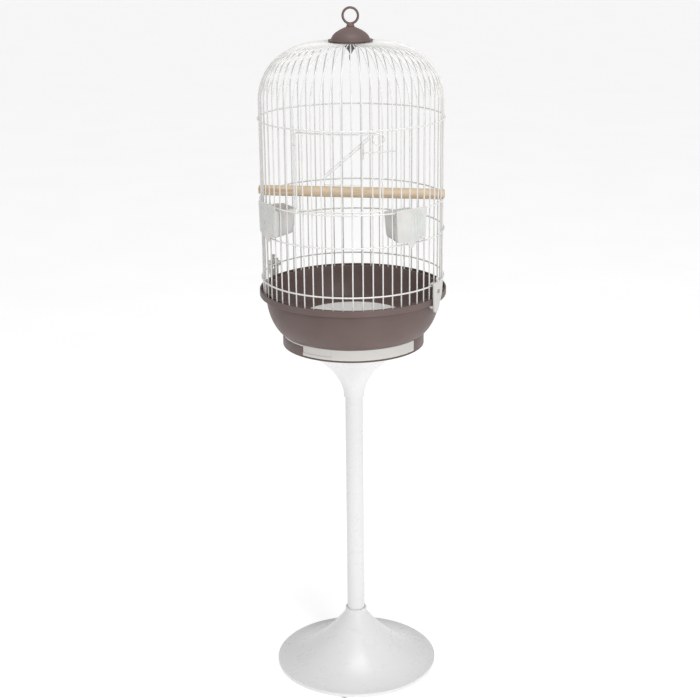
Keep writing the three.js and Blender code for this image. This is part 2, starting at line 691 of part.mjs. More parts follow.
function baseCover() {
  const { radius, collar, collarZ, wall, boreLowZ, rimLowZ, rimWidth, rimDepth } = BASE;
  const outer = baseCurve(9, 0).reverse();
  const inner = baseCurve(9, wall).slice(1, -1);
  const bore = TUBE.radius + GAP;
  const rimInner = radius - rimWidth;
  return lathe([
    [rimInner, rimLowZ], [radius - 1, rimLowZ], [radius, rimLowZ + 1.3], ...outer, [collar, collarZ],
    [bore, collarZ], [bore, boreLowZ], ...inner.filter(([r]) => r > bore + 8 && r < rimInner - 2),
    [rimInner, rimLowZ + rimDepth], [rimInner, rimLowZ],
  ], 32);
}

function ballast() {
  const { inner, outer, low, high } = BALLAST;
  return lathe([[inner, low], [outer, low], [outer, high], [inner, high], [inner, low]], 32);
}

function addStand() {
  add("stand_flare", "stand_plastic", standFlare());
  add("stand_tube", "stand_plastic", standTube());
  add("base_cover", "stand_plastic", baseCover());
  add("base_ballast", "ballast", ballast());
  for (let i = 0; i < FOOT.count; i += 1) {
    const place = at(FOOT.circle, (360 * i) / FOOT.count, 0);
    add(`foot_${i + 1}`, "rubber", post(FOOT.radius, 0, FOOT.high, 12, place.x, place.y));
  }
}

addWirework();
addCrown();
addDoor();
add("feeder_cup_right", "clear_cup", feederCup(CUP_WIRES.right));
add("feeder_cup_left", "clear_cup", feederCup(CUP_WIRES.left));
add("perch", "wood", perch());
addTop();
addTray();
addStand();

export default cage;
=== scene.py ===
"""The looks of a round wire bird cage on a pedestal stand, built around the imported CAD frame.

Metres, +Z up, the door faces -Y. An azimuth is counted in degrees from the front, -Y, towards +X.
"""
import math

import bmesh
import bpy
import numpy as np
from mathutils import Matrix, Vector


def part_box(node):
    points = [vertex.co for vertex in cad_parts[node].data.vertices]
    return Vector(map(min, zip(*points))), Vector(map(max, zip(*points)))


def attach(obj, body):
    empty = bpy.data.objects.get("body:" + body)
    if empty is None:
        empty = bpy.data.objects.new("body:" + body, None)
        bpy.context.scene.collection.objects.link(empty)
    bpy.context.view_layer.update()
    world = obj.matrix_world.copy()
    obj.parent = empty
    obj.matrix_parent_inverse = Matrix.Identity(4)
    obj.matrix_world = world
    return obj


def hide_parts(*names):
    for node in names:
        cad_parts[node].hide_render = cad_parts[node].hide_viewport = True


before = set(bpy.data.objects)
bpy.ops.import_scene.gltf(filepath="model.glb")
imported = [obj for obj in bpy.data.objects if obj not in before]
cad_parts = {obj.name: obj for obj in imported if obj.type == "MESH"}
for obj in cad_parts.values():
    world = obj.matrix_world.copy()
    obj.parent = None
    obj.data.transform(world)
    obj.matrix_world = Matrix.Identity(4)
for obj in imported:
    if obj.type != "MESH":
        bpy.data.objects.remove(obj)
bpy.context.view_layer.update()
MM = 0.001

# ---- Sizes that the CAD model has, read from its nodes where a node gives them -------------------
WIRE_COUNT = 58
PITCH = 360 / WIRE_COUNT
WIRE_CIRCLE = 159 * MM
WIRE_RADIUS = 1.2 * MM
THIN_WIRE_RADIUS = 1.0 * MM
RING_RADIUS = 1.45 * MM
RING_CIRCLE = WIRE_CIRCLE + 2.4 * MM
RING_Z = [1050 * MM, 911 * MM, 855 * MM, 770 * MM]
WIRE_FOOT_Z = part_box("sill_front")[0].z
DOME_SPRING_Z = 1082 * MM
DOME_TOP_Z = 1175 * MM
SHOULDER_CENTRE = 60 * MM
HUB_RADIUS = 24.2 * MM
HUB_Z = 1177.2 * MM
DOOR_EDGE = 4.5 * PITCH
DOOR_SIDE = DOOR_EDGE - 1.66
DOOR_TOP_Z = RING_Z[0] - 5 * MM
DOOR_BOTTOM_Z = RING_Z[1] + 4.5 * MM
CUP_WIRES = {"cup_right": 7.5, "cup_left": -8.5}
PERCH_WIRE = 14.5
PANELS = [
    "right_front", "right_cup", "right", "right_back", "back_right", "back", "back_left", "left_back", "left",
    "left_cup", "left_front",
]
DRAWER_AZIMUTH = 2.5 * PITCH
CLIP_AZIMUTHS = {"clip_right": 11 * PITCH, "clip_left": -18 * PITCH}


# ---- Mesh helpers --------------------------------------------------------------------------------
def polar(radius, azimuth, z):
    """The point at a radius, an azimuth and a height."""
    angle = math.radians(azimuth)
    return (radius * math.sin(angle), -radius * math.cos(angle), z)


def spin(azimuth):
    """Turns a piece made at the front, on -Y, to an azimuth."""
    return Matrix.Rotation(math.radians(azimuth), 4, "Z")


class Form:
    """Vertices and faces gathered for one piece."""

    def __init__(self):
        self.verts = []
        self.faces = []

    def add(self, verts, faces, matrix=None):
        start = len(self.verts)
        if matrix is not None:
            verts = [matrix @ Vector(v) for v in verts]
        self.verts.extend(tuple(v) for v in verts)
        self.faces.extend(tuple(i + start for i in face) for face in faces)
        return self

    def piece(self, name, sharp=38):
        mesh = bpy.data.meshes.new(name)
        mesh.from_pydata(self.verts, [], self.faces)
        mesh.validate()
        bm = bmesh.new()
        bm.from_mesh(mesh)
        bmesh.ops.recalc_face_normals(bm, faces=bm.faces)
        bm.to_mesh(mesh)
        bm.free()
        mesh.shade_smooth()
        mesh.set_sharp_from_angle(angle=math.radians(sharp))
        obj = bpy.data.objects.new(name, mesh)
        bpy.context.scene.collection.objects.link(obj)
        return obj


def sweep(points, radius, sides=10, closed=False):
    """A round wire along points, with slightly rounded ends."""
    line = np.array(points, float)
    if closed:
        tangents = np.roll(line, -1, 0) - np.roll(line, 1, 0)
    else:
        tangents = np.gradient(line, axis=0)
    tangents /= np.linalg.norm(tangents, axis=1)[:, None]
    guess = np.array([0.0, 0.0, 1.0])
    if abs(tangents[0] @ guess) > 0.9:
        guess = np.array([line[0][1], -line[0][0], 0.0])
        if np.linalg.norm(guess) < 1e-6:
            guess = np.array([1.0, 0.0, 0.0])
    normal = guess - tangents[0] * (guess @ tangents[0])
    normal /= np.linalg.norm(normal)
    around = [2 * math.pi * k / sides for k in range(sides)]
    verts = []
    rings = []
    for i, (place, tangent) in enumerate(zip(line, tangents)):
        normal = normal - tangent * (normal @ tangent)
        normal /= np.linalg.norm(normal)
        other = np.cross(tangent, normal)
        offsets = [(0.0, 1.0)]
        if not closed and i == 0:
            offsets = [(-0.3 * radius, 0.72), (0.0, 1.0)]
        if not closed and i == len(line) - 1:
            offsets = [(0.0, 1.0), (0.3 * radius, 0.72)]
        for along, share in offsets:
            rings.append(len(verts))
            for a in around:
                out = (normal * math.cos(a) + other * math.sin(a)) * radius * share
                verts.append(tuple(place + tangent * along + out))
    faces = []
    pairs = list(zip(rings, rings[1:])) + ([(rings[-1], rings[0])] if closed else [])
    for a, b in pairs:
        for k in range(sides):
            n = (k + 1) % sides
            faces.append((a + k, a + n, b + n, b + k))
    if not closed:
        faces.append(tuple(range(sides - 1, -1, -1)))
        faces.append(tuple(range(rings[-1], rings[-1] + sides)))
    return verts, faces


def fillet(corners, closed=False, steps=5):
    """Rounds the corners of an outline given as (a, b, radius), all in mm.

    The first and last corners of an open outline stay sharp.
    """
    count = len(corners)
    result = []
    for i, (a, b, radius) in enumerate(corners):
        here = Vector((a, b))
        if radius <= 0 or (not closed and i in (0, count - 1)):
            result.append((a, b))
            continue
        before = Vector(corners[i - 1][:2]) - here
        after = Vector(corners[(i + 1) % count][:2]) - here
        turn = before.angle(after)
        cut = radius / max(math.tan(turn / 2), 1e-3)
        cut = min(cut, 0.46 * before.length, 0.46 * after.length)
        start = here + before.normalized() * cut
        end = here + after.normalized() * cut
        support = min(0.25, 0.04 * min(before.length, after.length))
        result.append(tuple(start + before.normalized() * support))
        for k in range(steps + 1):
            t = k / steps
            result.append(tuple(start * (1 - t) ** 2 + here * (2 * t * (1 - t)) + end * t**2))
        result.append(tuple(end + after.normalized() * support))
    return result


def revolve(profile, segments=128, start=0, end=360):
    """A solid of revolution about Z from [radius, z] points in mm, or a sector of one with flat ends."""
    full = end - start >= 360
    columns = segments if full else segments + 1
    verts = []
    index = []
    for radius, z in profile:
        if radius < 1e-6:
            index.append([len(verts)] * columns)
            verts.append((0.0, 0.0, z * MM))
            continue
        index.append(list(range(len(verts), len(verts) + columns)))
        for k in range(columns):
            verts.append(polar(radius * MM, start + (end - start) * k / segments, z * MM))
    faces = []
    rows = list(zip(index, index[1:]))
    if profile[0] != profile[-1] and (profile[0][0] > 1e-6 or profile[-1][0] > 1e-6):
        rows.append((index[-1], index[0]))
    for low, high in rows:
        for k in range(segments):
            n = (k + 1) % columns
            corners = []
            for corner in (low[k], low[n], high[n], high[k]):
                if corner not in corners:
                    corners.append(corner)
            if len(corners) > 2:
                faces.append(tuple(corners))
    if not full:
        for column in (0, columns - 1):
            cap = []
            for row in index:
                if row[column] not in cap:
                    cap.append(row[column])
            faces.append(tuple(cap))
    return verts, faces


def tube_outline(inner, outer, low, high, inner_edge, outer_edge):
    """The outline of a tube's wall with rounded edges, to be revolved."""
    return fillet([
        (inner, low, inner_edge), (outer, low, outer_edge),
        (outer, high, outer_edge), (inner, high, inner_edge),
    ], closed=True)


def disc_outline(radius, low, high, low_edge, high_edge):
    """The outline of a solid disc with rounded edges, to be revolved."""
    return fillet([(0, low, 0), (radius, low, low_edge), (radius, high, high_edge), (0, high, 0)])


def between(start, end, steps):
    """Evenly spaced points from one point to another."""
    return [tuple(a + (b - a) * k / steps for a, b in zip(start, end)) for k in range(steps + 1)]


def loft(loops):
    """A closed skin over closed loops that all have the same number of points."""
    count = len(loops[0])
    verts = [tuple(p) for loop in loops for p in loop]
    faces = []
    for row in range(len(loops) - 1):
        for k in range(count):
            n = (k + 1) % count
            a = row * count
            b = a + count
            faces.append((a + k, a + n, b + n, b + k))
    last = (len(loops) - 1) * count
    faces.append(tuple(range(count - 1, -1, -1)))
    faces.append(tuple(range(last, last + count)))
    return verts, faces


def inset(outline, distance):
    """A closed outline of (a, b) points moved inwards, for outlines that turn anticlockwise."""
    count = len(outline)
    result = []
    for i in range(count):
        before = Vector(outline[i - 1])
        here = Vector(outline[i])
        after = Vector(outline[(i + 1) % count])
        first = (here - before).normalized()
        second = (after - here).normalized()
        normal = Vector((-first.y - second.y, first.x + second.x))
        normal.normalize()
        stretch = max(0.5, normal.dot(Vector((-first.y, first.x))))
        result.append(tuple(here + normal * (distance / stretch)))
    return result


def anticlockwise(outline):
    area = sum(a[0] * b[1] - b[0] * a[1] for a, b in zip(outline, outline[1:] + outline[:1]))
    return outline if area > 0 else outline[::-1]


def slab(outline, low, high, edge=0.6, steps=3):
    """A plate with rounded edges: the outline in mm, extruded from low to high along the third axis."""
    outline = anticlockwise(outline)
    levels = []
    for k in range(steps + 1):
        angle = math.pi / 2 * k / steps
        levels.append((edge * (1 - math.sin(angle)), low + edge * (1 - math.cos(angle))))
    levels = [(edge + 0.15, low)] + levels
    levels += [(d, high + low - z) for d, z in reversed(levels)]
    return loft([[(x * MM, y * MM, z * MM) for x, y in inset(outline, d)] for d, z in levels])


# Turns a slab drawn in X-Y, thick along Z, upright: its outline lies in X-Z and it is thick along -Y.
UPRIGHT = Matrix(((1, 0, 0, 0), (0, 0, -1, 0), (0, 1, 0, 0), (0, 0, 0, 1)))


def applied(obj):
    """Bakes the object's modifiers into its mesh."""
    graph = bpy.context.evaluated_depsgraph_get()
    mesh = bpy.data.meshes.new_from_object(obj.evaluated_get(graph))
    old = obj.data
    obj.modifiers.clear()
    obj.data = mesh
    bpy.data.meshes.remove(old)
    return obj


def carve(obj, cutters):
    """Cuts the cutters out of the object."""
    for cutter in cutters:
        modifier = obj.modifiers.new("cut", "BOOLEAN")
        modifier.operation = "DIFFERENCE"
        modifier.solver = "EXACT"
        modifier.object = cutter
    bpy.context.view_layer.update()
    applied(obj)
    for cutter in cutters:
        bpy.data.objects.remove(cutter)
    obj.data.shade_smooth()
    obj.data.set_sharp_from_angle(angle=math.radians(38))
    return obj


def block(name, low, high, matrix=None):
    """A cutter box between two corners in mm."""
    corners = [[low[i] if not bit else high[i] for i, bit in enumerate(bits)] for bits in np.ndindex(2, 2, 2)]
    verts = [tuple(c * MM for c in corner) for corner in corners]
    faces = [(0, 1, 3, 2), (4, 6, 7, 5), (0, 4, 5, 1), (2, 3, 7, 6), (0, 2, 6, 4), (1, 5, 7, 3)]
    return Form().add(verts, faces, matrix).piece(name)


# ---- Materials -----------------------------------------------------------------------------------
class Material:
    """A node material whose texture coordinates are the piece's own, in metres."""

    def __init__(self, name):
        self.material = bpy.data.materials.new(name)
        self.material.use_nodes = True
        self.nodes = self.material.node_tree.nodes
        self.links = self.material.node_tree.links
        self.shader = self.nodes["Principled BSDF"]
        self.place = self.nodes.new("ShaderNodeTexCoord").outputs["Object"]

    def set(self, **values):
        for name, value in values.items():
            self.shader.inputs[name.replace("_", " ")].default_value = value
        return self

    def stretched(self, scale, turn=0.0):
        """Coordinates turned about Z, then stretched, for grain and brushed lines."""
        turned = self.nodes.new("ShaderNodeMapping")
        turned.inputs["Rotation"].default_value = (0, 0, math.radians(turn))
        self.links.new(self.place, turned.inputs["Vector"])
        node = self.nodes.new("ShaderNodeMapping")
        node.inputs["Scale"].default_value = scale
        self.links.new(turned.outputs["Vector"], node.inputs["Vector"])
        return node.outputs["Vector"]

    def noise(self, scale, detail=2.0, rough=0.5, place=None):
        node = self.nodes.new("ShaderNodeTexNoise")
        node.inputs["Scale"].default_value = scale
        node.inputs["Detail"].default_value = detail
        node.inputs["Roughness"].default_value = rough
        self.links.new(place or self.place, node.inputs["Vector"])
        return node.outputs["Fac"]

    def ramp(self, source, *stops):
        """Colours by a value: stops are (position, colour), the colour a grey level or a triple."""
        node = self.nodes.new("ShaderNodeValToRGB")
        elements = node.color_ramp.elements
        while len(elements) < len(stops):
            elements.new(0.5)
        for element, (position, colour) in zip(elements, stops):
            element.position = position
            if not isinstance(colour, tuple):
                colour = (colour,) * 3
            element.color = (*colour, 1)
        self.links.new(source, node.inputs["Fac"])
        return node.outputs["Color"]

    def span(self, source, low, high, out_low, out_high):
        node = self.nodes.new("ShaderNodeMapRange")
        for name, value in zip(("From Min", "From Max", "To Min", "To Max"), (low, high, out_low, out_high)):
            node.inputs[name].default_value = value
        self.links.new(source, node.inputs["Value"])
        return node.outputs["Result"]

    def mix(self, factor, first, second, blend="MIX"):
        node = self.nodes.new("ShaderNodeMix")
        node.data_type = "RGBA"
        node.blend_type = blend
        for name, value in (("Factor", factor), ("A", first), ("B", second)):
            self.feed(node.inputs[name], value)
        return node.outputs["Result"]

    def math(self, operation, first, second=0.0):
        node = self.nodes.new("ShaderNodeMath")
        node.operation = operation
        self.feed(node.inputs[0], first)
        self.feed(node.inputs[1], second)
        return node.outputs[0]

    def feed(self, socket, value):
        if isinstance(value, bpy.types.NodeSocket):
            self.links.new(value, socket)
        elif isinstance(value, tuple):
            socket.default_value = (*value, 1)
        else:
            socket.default_value = value

    def height(self):
        """The height above the floor, in metres."""
        node = self.nodes.new("ShaderNodeSeparateXYZ")
        self.links.new(self.place, node.inputs["Vector"])
        return node.outputs["Z"]

    def bump(self, source, strength, distance=0.0002, after=None):
        node = self.nodes.new("ShaderNodeBump")
        node.inputs["Strength"].default_value = strength
        node.inputs["Distance"].default_value = distance
        self.links.new(source, node.inputs["Height"])
        if after:
            self.links.new(after, node.inputs["Normal"])
        return node.outputs["Normal"]

    def finish(self, **inputs):
        for name, value in inputs.items():
            self.links.new(value, self.shader.inputs[name.replace("_", " ")])
        return self.material


def varied(colour, amount):
    """A colour made lighter or darker."""
    return tuple(min(1.0, c * amount) for c in colour)


def moulded(name, colour, roughness, grain=900, grain_depth=0.15, mottle=0.05, speck=0.35, **values):
    """Injection-moulded plastic: a fine matt grain, slow colour drift and patches handled smoother."""
    look = Material(name).set(Specular_IOR_Level=0.5, **values)
    drift = look.noise(14, detail=3)
    fine = look.noise(260, detail=2)
    tint = look.ramp(drift, (0.35, varied(colour, 1 - mottle)), (0.65, varied(colour, 1 + mottle)))
    base = look.mix(look.span(fine, 0.4, 0.7, 0.0, speck), tint, varied(colour, 1 - 1.6 * mottle))
    rubbed = look.noise(32, detail=5, rough=0.65)
    rough = look.span(rubbed, 0.35, 0.7, roughness - 0.05, roughness + 0.05)
    wave = look.bump(look.noise(55, detail=1), 0.2, 0.0003)
    normal = look.bump(look.noise(grain, detail=2), grain_depth, 0.00015, wave)
    return look.finish(Base_Color=base, Roughness=rough, Normal=normal)


def powder_coat():
    """White baked enamel on wire: orange peel, and a little grey where it is thin."""
    look = Material("powder_coat").set(Coat_Weight=0.25, Coat_Roughness=0.2)
    white = (0.66, 0.655, 0.64)
    drift = look.noise(45, detail=3)
    base = look.ramp(drift, (0.3, varied(white, 0.94)), (0.6, white), (0.8, varied(white, 1.03)))
    rough = look.span(look.noise(300), 0.3, 0.7, 0.3, 0.42)
    normal = look.bump(look.noise(900, detail=1), 0.35, 0.00012)
    return look.finish(Base_Color=base, Roughness=rough, Normal=normal)


def taupe_plastic():
    """Warm grey-brown moulded plastic; edges that are handled are a shade lighter."""
    look = Material("taupe_plastic").set(Specular_IOR_Level=0.22)
    taupe = (0.130, 0.093, 0.086)
    drift = look.noise(11, detail=3)
    tint = look.ramp(drift, (0.35, varied(taupe, 0.93)), (0.65, varied(taupe, 1.07)))
    speck = look.span(look.noise(700, detail=1), 0.62, 0.72, 0.0, 0.25)
    base = look.mix(speck, tint, varied(taupe, 1.45))
    scuffs = look.noise(60, detail=6, rough=0.7)
    rough = look.span(scuffs, 0.35, 0.72, 0.40, 0.54)
    wave = look.bump(look.noise(50, detail=1), 0.2, 0.0003)
    normal = look.bump(look.noise(1100, detail=2), 0.22, 0.00015, wave)
    return look.finish(Base_Color=base, Roughness=rough, Normal=normal)


def cup_plastic():
    """Milky clear polypropylene, cloudier where the wall is thick."""
    look = Material("milky_cup_plastic").set(IOR=1.49, Specular_IOR_Level=0.5)
    look.set(Subsurface_Weight=0.2, Subsurface_Scale=0.004)
    milk = (0.575, 0.57, 0.552)
    cloud = look.noise(40, detail=4)
    base = look.ramp(cloud, (0.35, varied(milk, 0.95)), (0.65, varied(milk, 1.04)))
    rough = look.span(look.noise(120, detail=3), 0.35, 0.7, 0.26, 0.38)
    normal = look.bump(look.noise(160, detail=2), 0.15, 0.0002)
    return look.finish(Base_Color=base, Roughness=rough, Normal=normal)


def perch_wood():
    """Turned pale softwood: long grain, darker late-wood lines and fine pores."""
    look = Material("perch_wood").set(Specular_IOR_Level=0.3)
    turn = 90 - PERCH_WIRE * PITCH
    grain_place = look.stretched((9, 150, 150), turn)
    pore_place = look.stretched((60, 1500, 1500), turn)
    grain = look.noise(1.0, detail=5, rough=0.55, place=grain_place)
    pores = look.noise(1.0, detail=3, rough=0.6, place=pore_place)
    early = (0.60, 0.48, 0.345)
    late = (0.45, 0.315, 0.20)
    stops = ((0.36, late), (0.46, varied(early, 0.92)), (0.58, early), (0.74, varied(early, 1.06)))
    base = look.ramp(grain, *stops)
    base = look.mix(look.span(pores, 0.6, 0.75, 0.0, 0.35), base, late)
    rough = look.span(pores, 0.3, 0.7, 0.5, 0.68)
    normal = look.bump(pores, 0.3, 0.0002, look.bump(grain, 0.25, 0.0004))
    return look.finish(Base_Color=base, Roughness=rough, Normal=normal)


def zinc_steel():
    look = Material("zinc_steel").set(Metallic=1.0)
    streaks = look.noise(1.0, detail=3, place=look.stretched((900, 900, 120)))
    base = look.ramp(streaks, (0.3, (0.15, 0.148, 0.145)), (0.7, (0.23, 0.225, 0.22)))
    rough = look.span(streaks, 0.3, 0.7, 0.24, 0.38)
    normal = look.bump(streaks, 0.2, 0.0001)
    return look.finish(Base_Color=base, Roughness=rough, Normal=normal)


def cast_iron():
    look = Material("ballast_iron").set(Metallic=0.4)
    lumps = look.noise(180, detail=6, rough=0.7)
    base = look.ramp(lumps, (0.35, (0.09, 0.085, 0.08)), (0.7, (0.17, 0.16, 0.15)))
    rough = look.span(lumps, 0.3, 0.7, 0.6, 0.8)
    normal = look.bump(lumps, 0.6, 0.0006)
    return look.finish(Base_Color=base, Roughness=rough, Normal=normal)


def foot_rubber():
    look = Material("foot_rubber").set(Specular_IOR_Level=0.3)
    dust = look.noise(90, detail=4)
    base = look.ramp(dust, (0.35, (0.022, 0.022, 0.022)), (0.75, (0.05, 0.048, 0.046)))
    rough = look.span(dust, 0.3, 0.7, 0.7, 0.85)
    normal = look.bump(look.noise(800), 0.3, 0.0002)
    return look.finish(Base_Color=base, Roughness=rough, Normal=normal)


COAT = powder_coat()
TAUPE = taupe_plastic()
CUP_PLASTIC = cup_plastic()
WOOD = perch_wood()
STEEL = zinc_steel()
IRON = cast_iron()
RUBBER = foot_rubber()
WHITE_PLASTIC = moulded("white_plastic", (0.55, 0.535, 0.51), 0.42, mottle=0.02, speck=0.2)
GRID_PLASTIC = moulded("grid_plastic", (0.83, 0.825, 0.81), 0.42, mottle=0.02, speck=0.2)
STAND_PLASTIC = moulded(
    "stand_plastic", (0.72, 0.72, 0.724), 0.3, grain=400, grain_depth=0.02, mottle=0.006, speck=0.0,
)
BLACK_PLASTIC = moulded("black_plastic", (0.055, 0.05, 0.048), 0.4, mottle=0.1)


def dress(obj, material, body, slot, *nodes):
    """Gives a piece its material and its body, and hides the CAD nodes that it stands for; the slot is not
    used.
    """
    obj.data.materials.clear()
    obj.data.materials.append(material)
    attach(obj, body)
    if nodes:
        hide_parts(*nodes)
    return obj


# ---- Wirework ------------------------------------------------------------------------------------
def shoulder_profile(steps=16):
    """Radius and height of a bent wire from its springing over the shoulder to its end at the hub."""
    points = []
    for i in range(steps + 1):
        angle = math.pi / 2 * i / steps
        radius = SHOULDER_CENTRE + (WIRE_CIRCLE - SHOULDER_CENTRE) * math.cos(angle)
        points.append((radius, DOME_SPRING_Z + (DOME_TOP_Z - DOME_SPRING_Z) * math.sin(angle)))
    steepening = 1.6
    for share in (0.15, 0.4, 0.7, 1.0):
        radius = SHOULDER_CENTRE + (HUB_RADIUS - SHOULDER_CENTRE) * share
        points.append((radius, DOME_TOP_Z + (HUB_Z - DOME_TOP_Z) * share**steepening))
    return points


def wire_runs(index):
    """The stretches of one wire as lists of radius and height: it stops above and below an opening."""
    dome = [(WIRE_CIRCLE, DOME_SPRING_Z - 4 * MM)] + shoulder_profile()
    signed = index if index < WIRE_COUNT / 2 else index - WIRE_COUNT
    stretch = WIRE_RADIUS
    if abs(signed) < DOOR_EDGE / PITCH:
        return [
            [(WIRE_CIRCLE, WIRE_FOOT_Z), (WIRE_CIRCLE, RING_Z[1] + stretch)],
            [(WIRE_CIRCLE, RING_Z[0] - stretch)] + dome,
        ]
    if any(abs(signed - wire) <= 1 for wire in CUP_WIRES.values()):
        return [
            [(WIRE_CIRCLE, WIRE_FOOT_Z), (WIRE_CIRCLE, RING_Z[2] + stretch)],
            [(WIRE_CIRCLE, RING_Z[1] - stretch)] + dome,
        ]
    return [[(WIRE_CIRCLE, WIRE_FOOT_Z)] + dome]


def ring_points(radius, z, start=0.0, end=360.0, steps=174):
    count = steps if end - start >= 360 else steps + 1
    return [polar(radius, start + (end - start) * k / steps, z) for k in range(count)]


def weld(form, radius, azimuth, z, size=1.55 * MM):
    """A small bead where two wires are spot-welded."""
    sphere = revolve([(0, -1), (0.72, -0.7), (1, 0), (0.72, 0.7), (0, 1)], 8)
    scale = Matrix.Diagonal((size / MM, 0.85 * size / MM, 0.95 * size / MM, 1))
    form.add(*sphere, spin(azimuth) @ Matrix.Translation((0, -radius, z)) @ scale)


def wirework():
    form = Form()
    joint = (WIRE_CIRCLE + RING_CIRCLE) / 2
    for k in range(WIRE_COUNT):
        index = k + 0.5
        for run in wire_runs(index):
            form.add(*sweep([polar(r, index * PITCH, z) for r, z in run], WIRE_RADIUS))
        for z in RING_Z:
            weld(form, joint, index * PITCH, z)
    for z in RING_Z:
        form.add(*sweep(ring_points(RING_CIRCLE, z), RING_RADIUS, closed=True))
    hub_wire = 1.1 * MM
    form.add(*sweep(ring_points(HUB_RADIUS, HUB_Z, steps=WIRE_COUNT), hub_wire, closed=True))
    obj = form.piece("wirework")
    nodes = ["sill_front", "dome_front", "sill_right_cup", "sill_left_cup"]
    nodes += [f"{part}_{place}" for place in PANELS for part in ("wall", "dome")]
    nodes += [f"crown_{number}" for number in range(1, 7)]
    return dress(obj, COAT, "cage", "white_wire", *nodes)


def hub():
    """The plate inside the cap that the bent wires end under."""
    hole, edge = 4, 27.5
    low, high = 1178.85, 1180.1
    plate = revolve(tube_outline(hole, edge, low, high, 0.3, 0.4), 64)
    return dress(Form().add(*plate).piece("hub_disc"), COAT, "cage", "white_wire", "hub_plate")


# ---- Door ----------------------------------------------------------------------------------------
def wrapped(points, radius):
    """Points drawn as (azimuth in degrees, z) laid on a circle."""
    return [polar(radius, azimuth, z) for azimuth, z in points]


def door_frame():
    """The door's outline as one bent wire, drawn flat and laid on the wire circle."""
    mm_per_degree = math.radians(1) * WIRE_CIRCLE / MM
    half = DOOR_SIDE * mm_per_degree
    low = DOOR_BOTTOM_Z / MM
    high = DOOR_TOP_Z / MM
    bend = 5
    step = 4
    corners = [(-half, low, bend), (half, low, bend), (half, high, bend), (-half, high, bend)]
    flat = fillet(corners, closed=True, steps=6)
    dense = []
    for here, after in zip(flat, flat[1:] + flat[:1]):
        dense += between(here, after, max(1, int(math.dist(here, after) / step)))[:-1]
    return wrapped([(x / mm_per_degree, z * MM) for x, z in dense], WIRE_CIRCLE)


def front_door():
    """A bent frame with eight upright wires and two hinge eyes."""
    eye_heights = (938 * MM, 1022 * MM)
    eye_radius = 2.9 * MM
    form = Form()
    form.add(*sweep(door_frame(), RING_RADIUS, closed=True))
    for k in range(-4, 4):
        azimuth = (k + 0.5) * PITCH
        form.add(*sweep([polar(WIRE_CIRCLE, azimuth, z) for z in (DOOR_BOTTOM_Z, DOOR_TOP_Z)], WIRE_RADIUS))
        for z in (DOOR_BOTTOM_Z, DOOR_TOP_Z):
            weld(form, WIRE_CIRCLE, azimuth, z, 1.7 * MM)
    for z in eye_heights:
        centre = Vector(polar(WIRE_CIRCLE, -DOOR_EDGE, z))
        eye = [centre + Vector(point) for point in ring_points(eye_radius, 0, steps=24)]
        form.add(*sweep(eye, THIN_WIRE_RADIUS, closed=True))
    return dress(form.piece("door_wires"), COAT, "door", "white_wire", "front_door")


def rounded_path(corners, radius, steps=5):
    """A 3-D path whose inner corners are rounded."""
    points = [Vector(c) for c in corners]
    result = [points[0]]
    for before, here, after in zip(points, points[1:], points[2:]):
        back = (before - here).normalized() * radius
        on = (after - here).normalized() * radius
        for k in range(steps + 1):
            t = k / steps
            result.append((here + back) * (1 - t) ** 2 + here * (2 * t * (1 - t)) + (here + on) * t**2)
    return result + [points[-1]]


def door_brace():
    """A pair of slopes from the latch corner, with an upright and a foot at their lower end."""
    circle = 155 * MM
    top = (3.3 * PITCH, 1042 * MM)
    low = (-1.2 * PITCH, 977 * MM)
    foot_z = 961 * MM
    foot_end = 2.6 * PITCH
    gap = 5 * MM
    bend = 3 * MM
    slope = between(top, low, 24)
    upright = [(low[0] - 0.15, low[1] - bend), (low[0] - 0.1, foot_z + bend)]
    foot_line = between((low[0] + 0.4, foot_z), (foot_end, foot_z), 16)
    lower = [(azimuth, z - gap) for azimuth, z in slope]
    bridge = [(top[0], top[1] - gap), top]
    form = Form()
    for line in (slope + upright + foot_line, lower, bridge):
        form.add(*sweep(wrapped(line, circle), THIN_WIRE_RADIUS))
    return dress(form.piece("door_brace_wire"), COAT, "door", "white_wire", "door_brace")


def door_latch():
    """A banded sleeve on a door wire, with an arm that reaches past the jamb wire."""
    start = 2.5 * PITCH
    end = 5.8 * PITCH
    sleeve_low, sleeve_high = 1004, 1030
    band_height = 2
    arm_z = 1016 * MM
    arm_circle = 164.9 * MM
    arm_radius = 1.1 * MM
    place = Matrix.Translation(polar(WIRE_CIRCLE, start, 0))
    form = Form()
    form.add(*revolve(tube_outline(1.7, 2.7, sleeve_low, sleeve_high, 0.2, 0.5), 24), place)
    for z in (1011, 1020):
        form.add(*revolve(tube_outline(2.5, 3.1, z, z + band_height, 0.1, 0.3), 24), place)
    arm = [polar(WIRE_CIRCLE + 2.3 * MM, start, arm_z), polar(WIRE_CIRCLE + 4.2 * MM, start + 0.7, arm_z)]
    arm += ring_points(arm_circle, arm_z, start + 1.5, end, 20)
    form.add(*sweep(arm, arm_radius, sides=12))
    return dress(form.piece("door_latch_arm"), WHITE_PLASTIC, "latch", "white_plastic", "door_latch")


def door_loop():
    """A wire loop on the outside of the door's free corner."""
    low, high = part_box("door_loop")
    centre_z = (low.z + high.z) / 2
    radius = (high.z - low.z) / 2 - THIN_WIRE_RADIUS
    turn = spin(4.05 * PITCH)
    plane = -162.25 * MM
    steps = 48
    points = []
    for k in range(steps):
        angle = 2 * math.pi * k / steps
        point = Vector((radius * math.cos(angle), plane, centre_z + radius * math.sin(angle)))
        points.append(tuple(turn @ point))
    form = Form().add(*sweep(points, THIN_WIRE_RADIUS, closed=True))
    return dress(form.piece("door_pull_loop"), COAT, "door", "white_wire", "door_loop")


# ---- Feeder cups and perch -----------------------------------------------------------------------
CUP_FRONT_HALF = 30.5
CUP_BACK_HALF = 27
CUP_FRONT = 164.2


